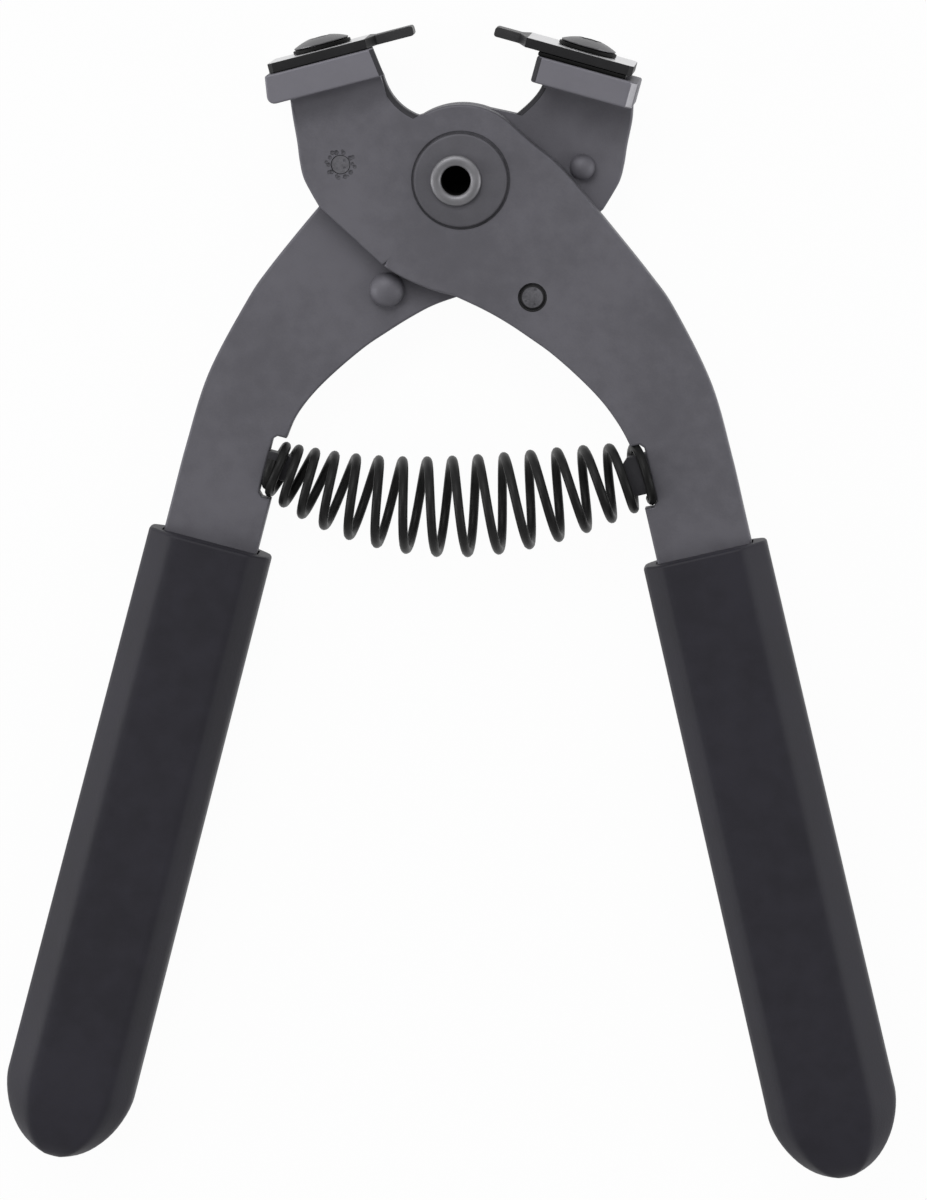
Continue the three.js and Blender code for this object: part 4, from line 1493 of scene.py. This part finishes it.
@dataclass(frozen=True)
class ReturnSpring:
    """The bowed spring between the handles, whose coils lie between an upper and a lower line.

    Each line is given by its places out from the pivot and up from it, at the turns in place_turns.
    """

    wire: float = 1.7
    first_turn: float = -0.8
    last_turn: float = 15.55
    middle_turn: float = 7.5
    least_depth: float = 4.6
    most_reach: float = 9.95
    splay: float = 0.6
    place_turns: tuple[int, ...] = (0, 3, 6, 9, 12, 15)
    upper_line: Places = ((-31.28, -49.13), (-22.43, -50.55), (-10.07, -51.21), (3.6, -50.44),
                          (17.87, -48.83), (31.81, -47.67))
    lower_line: Places = ((-35.08, -56.67), (-26.29, -62.36), (-11.89, -66.8), (4.84, -67.2),
                          (21.01, -63.41), (33.68, -57.92))
    steps: int = 28
    sides: int = 12

    def on_line(self, places: Places, turn: float) -> Vector:
        """A point of the smooth curve through a line's places.

        Args:
            places: the line's places.
            turn: the turns wound so far, from the back lever's end.

        Returns:
            The point.
        """
        point = Vector((0, 0))
        for here, place in zip(self.place_turns, places):
            others = (other for other in self.place_turns if other != here)
            point += Vector(place) * math.prod((turn - other) / (here - other) for other in others)
        return point

    def clear(self, place: Vector) -> Vector:
        """Keeps the wire off the notch floor on its side.

        Args:
            place: a flat point of the wire.

        Returns:
            The point, clear of the floor.
        """
        floor = PLAN.handle_point(-PLAN.tang_width / 2 + PLAN.notch_depth, PLAN.notch_rise)
        away = (PLAN.handle_point(-1, 0) - PLAN.handle_point(0, 0)).normalized()
        if place.x < 0:
            floor.x, away.x = -floor.x, -away.x
        short = self.wire / 2 + FITS.seat_gap - (place - floor).dot(away)
        return place + away * max(short, 0)

    def wire_point(self, turn: float) -> Vector:
        """A point of the wire.

        Args:
            turn: the turns wound so far, from the back lever's end. A whole number is at a coil's top.

        Returns:
            The point, in the front lever's drawing.
        """
        share = (turn - self.middle_turn) / self.middle_turn
        top, bottom = self.on_line(self.upper_line, turn), self.on_line(self.lower_line, turn)
        half = (top - bottom) / 2
        angle = FULL_TURN * turn
        flat = self.clear((top + bottom) / 2 + half * math.cos(angle))
        middle = PLAN.middle * math.sin(share * math.pi / 2)
        depth = min(max(half.length, self.least_depth), self.most_reach - self.wire / 2 - abs(middle))
        flat.x += self.splay * (1 + share) / 2 * math.sin(angle)
        return Vector((*flat, middle + depth * math.sin(angle)))

    def route(self) -> list[Vector]:
        """The wire's points from end to end.

        Returns:
            The points.
        """
        count = round((self.last_turn - self.first_turn) * self.steps)
        step = (self.last_turn - self.first_turn) / count
        return [self.wire_point(self.first_turn + i * step) for i in range(count + 1)]

    @staticmethod
    def rings(points: Sequence[Vector]) -> list[Matrix]:
        """Where the wire's section lies at each point, twisted as little as the route allows.

        Args:
            points: the wire's points.

        Returns:
            A place for each point.
        """
        last = len(points) - 1
        side = Vector((0, 0, 1))
        rings = []
        for i, point in enumerate(points):
            tangent = (points[min(i + 1, last)] - points[max(i - 1, 0)]).normalized()
            side = (side - tangent * side.dot(tangent)).normalized()
            ring = Matrix((side, tangent.cross(side), tangent)).transposed().to_4x4()
            ring.translation = point
            rings.append(ring)
        return rings

    def build(self) -> bpy.types.Object:
        """Draws the wire along its route and dresses it.

        Returns:
            The finished spring.
        """
        points = self.route()
        rings = self.rings(points)
        bm = bmesh.new()
        bmesh.ops.create_circle(bm, cap_ends=True, segments=self.sides, radius=self.wire / 2, matrix=rings[0])
        loft(bm, bm.faces[:][0], rings)
        bmesh.ops.recalc_face_normals(bm, faces=bm.faces)
        piece = Piece("bowed_spring", "", "return_spring", "spring_steel")
        spring = piece.finish(solid(bm, SPRING_STEEL), Side.FRONT.placed())
        tuple(Side.FRONT.placed() @ points[0])
        tuple(Side.FRONT.placed() @ points[-1])
        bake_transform(spring)
        return spring


@dataclass(frozen=True)
class Grip:
    """A moulded sleeve on a handle's tang, with a thumb-shaped end."""

    side: Side
    slide: float = -0.1
    top_width: float = 22.7
    width: float = 23.5
    thickness: float = 15
    length: float = 116.14
    tip_rise: float = 13.5
    tip_power: float = 1.2
    tip_flat_power: float = 0.42
    bore_gap: float = 0.3
    mouth_gap: float = 0.75
    bore_depth: float = 20
    lip: float = 0.6
    body_rings: int = 16
    tip_rings: int = 16
    section_shares: Places = (
        (1.0, 0.0), (0.998, 0.2), (0.985, 0.36), (0.94, 0.48), (0.82, 0.69), (0.7, 0.87),
        (0.63, 0.955), (0.56, 0.99), (0.46, 1.0), (0.0, 1.0), (-0.56, 1.0), (-0.65, 0.985),
        (-0.71, 0.945), (-0.79, 0.83), (-0.93, 0.58), (-0.98, 0.45), (-0.997, 0.28), (-1.0, 0.0))

    def section(self) -> list[Vector]:
        """The sleeve's section with its half width and half thickness as 1.

        Returns:
            Its corners, once round.
        """
        front = [Vector((x, 0, z)) for x, z in self.section_shares]
        back = [Vector((x, 0, -z)) for x, z in self.section_shares[-2:0:-1]]
        return front + back

    def rings(self) -> list[Matrix]:
        """Where the section lies down the sleeve, with its half width and half thickness.

        Returns:
            A place for each ring.
        """
        half, thick = self.width / 2, self.thickness / 2
        tip_start = self.slide - self.length + self.tip_rise
        stations = []
        for i in range(self.body_rings + 1):
            share = i / self.body_rings
            wide = self.top_width / 2 + (half - self.top_width / 2) * share
            stations.append((self.slide + (tip_start - self.slide) * share, wide, thick))
        for i in range(1, self.tip_rings):
            angle = i / self.tip_rings * math.pi / 2
            stations.append((tip_start - self.tip_rise * math.sin(angle) ** self.tip_power,
                             half * math.cos(angle), thick * math.cos(angle) ** self.tip_flat_power))
        return [Matrix.Translation((0, along, PLAN.middle)) @ Matrix.Diagonal((wide, 1, deep, 1))
                for along, wide, deep in stations]

    def build(self) -> bpy.types.Object:
        """Lofts the sleeve, opens its bore and dresses it.

        Returns:
            The finished sleeve.
        """
        bm = bmesh.new()
        rings = self.rings()
        mouth = bm.faces.new([bm.verts.new(rings[0] @ point) for point in self.section()])
        tip = bmesh.ops.poke(bm, faces=[loft(bm, mouth, rings)])["verts"][0]
        tip.co = Vector((0, self.slide - self.length, PLAN.middle))
        bmesh.ops.recalc_face_normals(bm, faces=bm.faces)
        rounded(bm, lying_at("y", self.slide), self.lip)
        sleeve = solid(moved(bm, PLAN.handle_frame()), SLEEVE_VINYL)
        reach = PLAN.tang_width / 2 + self.bore_gap
        deep = PLAN.thickness / 2 + self.mouth_gap
        bore = block(Vector((-reach, self.slide - self.bore_depth, PLAN.middle - deep)),
                     Vector((reach, self.slide + FITS.overrun, PLAN.middle + deep)))
        combine(sleeve, Cut.TAKE, solid(moved(bore, PLAN.handle_frame())))
        name = self.side.handle
        piece = Piece(f"{name}_sleeve", self.side.body, f"{name}_grip", "grip_vinyl")
        return piece.finish(sleeve, self.side.placed())


@dataclass(frozen=True)
class Lamp:
    """A soft square lamp that looks at the tool."""

    name: str
    place: tuple[float, float, float]
    size: tuple[float, float]
    watts: float
    target: tuple[float, float, float] = (0, 0, 0.01)

    def build(self) -> None:
        """Hangs the lamp."""
        light = bpy.data.lights.new(self.name, "AREA")
        light.shape = "RECTANGLE"
        light.size, light.size_y = self.size
        light.energy = self.watts
        lamp = bpy.data.objects.new(self.name, light)
        lamp.location = self.place
        lamp.rotation_mode = "QUATERNION"
        lamp.rotation_quaternion = (Vector(self.target) - lamp.location).to_track_quat("-Z", "Y")
        lamp.visible_camera = False
        bpy.context.scene.collection.objects.link(lamp)


@dataclass(frozen=True)
class Studio:
    """Pale floor, soft light, and the camera above the tool."""

    lens: float = 300
    pixel: float = 0.18
    frame_size: tuple[int, int] = (927, 1200)
    pivot_pixel: tuple[float, float] = (460.7, 179.8)
    roll: float = 0.75
    lean_right: float = 3.0
    lean_up: float = 6.0
    aim_height: float = 5.0
    clip_range: tuple[float, float] = (0.01, 50)
    fill: float = 0.3
    zenith: float = 0.5
    overhead_range: tuple[float, float] = (0.25, 0.9)
    floor_reach: float = 3.0
    floor_tone: float = 0.85
    floor_share: float = 0.03
    lamps: tuple[Lamp, ...] = (
        Lamp("head_softbox", (-0.25, 0.75, 0.95), (0.9, 0.6), 6.0),
        Lamp("left_softbox", (-0.95, -0.05, 0.35), (0.3, 0.9), 3.6),
        Lamp("right_softbox", (0.95, -0.05, 0.4), (0.3, 0.9), 2.6),
    )

    def camera(self) -> None:
        """Stands the camera where the photograph was taken from."""
        turn = math.radians(self.roll)
        right = Vector((math.cos(turn), math.sin(turn), 0))
        up = Vector((-math.sin(turn), math.cos(turn), 0))
        across = (self.frame_size[0] / 2 - self.pivot_pixel[0]) * self.pixel * MM
        down = (self.frame_size[1] / 2 - self.pivot_pixel[1]) * self.pixel * MM
        aim = PIVOT + Vector((0, 0, self.aim_height * MM)) + right * across - up * down
        away = (right * math.tan(math.radians(self.lean_right)) + up * math.tan(math.radians(self.lean_up))
                + Vector((0, 0, 1))).normalized()
        data = bpy.data.cameras.new("camera")
        data.lens = self.lens
        data.clip_start, data.clip_end = self.clip_range
        camera = bpy.data.objects.new("camera", data)
        distance = self.frame_size[1] * self.pixel * MM * self.lens / data.sensor_width
        camera.location = aim + away * distance
        facing = (up - away * up.dot(away)).normalized()
        camera.rotation_mode = "QUATERNION"
        camera.rotation_quaternion = Matrix((facing.cross(away), facing, away)).transposed().to_quaternion()
        bpy.context.scene.collection.objects.link(camera)
        bpy.context.scene.camera = camera

    def seen(self, graph: Graph) -> Level:
        """1 for rays that see the backdrop itself, from the camera, in a gloss or through glass.

        Args:
            graph: the tree that asks.

        Returns:
            The number.
        """
        path = graph.node("ShaderNodeLightPath")
        return graph.level(path, "Is Camera Ray").most(graph.level(path, "Is Glossy Ray")).most(
            graph.level(path, "Is Transmission Ray"))

    def world(self) -> None:
        """White behind the tool, softer overhead."""
        world = bpy.data.worlds.new("studio")
        bpy.context.scene.world = world
        world.use_nodes = True
        graph = Graph(world.node_tree)
        path = graph.node("ShaderNodeLightPath")
        sky = graph.node("ShaderNodeTexCoord").outputs["Generated"]
        height = graph.level(graph.node("ShaderNodeSeparateXYZ", None, {0: sky}), "Z")
        gloss = 1 - (1 - self.zenith) * height.rise(*self.overhead_range)
        camera = graph.level(path, "Is Camera Ray").most(graph.level(path, "Is Transmission Ray"))
        glossy = graph.level(path, "Is Glossy Ray") * gloss
        rest = (1 - self.seen(graph)) * self.fill
        back = graph.node("ShaderNodeBackground", None, {"Strength": camera + glossy + rest})
        graph.node("ShaderNodeOutputWorld", None, {"Surface": back.outputs[0]})

    def floor(self) -> None:
        """The pale floor, on which a trace of the tool's shadow stays."""
        bm = bmesh.new()
        bmesh.ops.create_grid(bm, x_segments=2, y_segments=2, size=self.floor_reach)
        floor = solid(bm)
        floor.name = "floor"
        material = bpy.data.materials.new("pale_floor")
        material.use_nodes = True
        graph = Graph(material.node_tree)
        matte = graph.node("ShaderNodeBsdfDiffuse", None, {"Color": grey(self.floor_tone)})
        white = graph.node("ShaderNodeEmission", None, {"Color": grey(1.0), "Strength": 1.0})
        lit = graph.node("ShaderNodeMixShader", None,
                         {0: self.floor_share, 1: white.outputs[0], 2: matte.outputs[0]})
        shown = graph.node("ShaderNodeMixShader", None,
                           {0: self.seen(graph), 1: matte.outputs[0], 2: lit.outputs[0]})
        graph.node("ShaderNodeOutputMaterial", None, {"Surface": shown.outputs[0]})
        floor.data.materials.append(material)

    def build(self) -> None:
        """Builds the whole set."""
        self.camera()
        self.world()
        self.floor()
        for lamp in self.lamps:
            lamp.build()
        bpy.context.scene.view_settings.view_transform = "Standard"


def main() -> None:
    """Builds the tool and the studio."""
    logging.basicConfig(level=logging.INFO, format="%(message)s")
    Studio().build()
    Lever(Side.FRONT, pad_inner=-9.1, pad_outer=11.0, pad_end_edge=1.6, pad_end_lean=0.8, pad_flare=0.7,
          pad_draft=1.5, tab_width=7.2).build()
    Lever(Side.BACK, pad_inner=-11.2, pad_outer=7.55, pad_facet=1.3).build()
    for side in Side:
        StopPins(side).build()
    Hub().build()
    Blade(Side.FRONT, tip=-16.35, shoulder=-8.0, outer=10.1).build()
    Blade(Side.BACK, tip=-19.95, shoulder=-13.85, outer=5.95, lift=0.75).build()
    ReturnSpring().build()
    for side in Side:
        Grip(side).build()


if __name__ == "__main__":
    main()
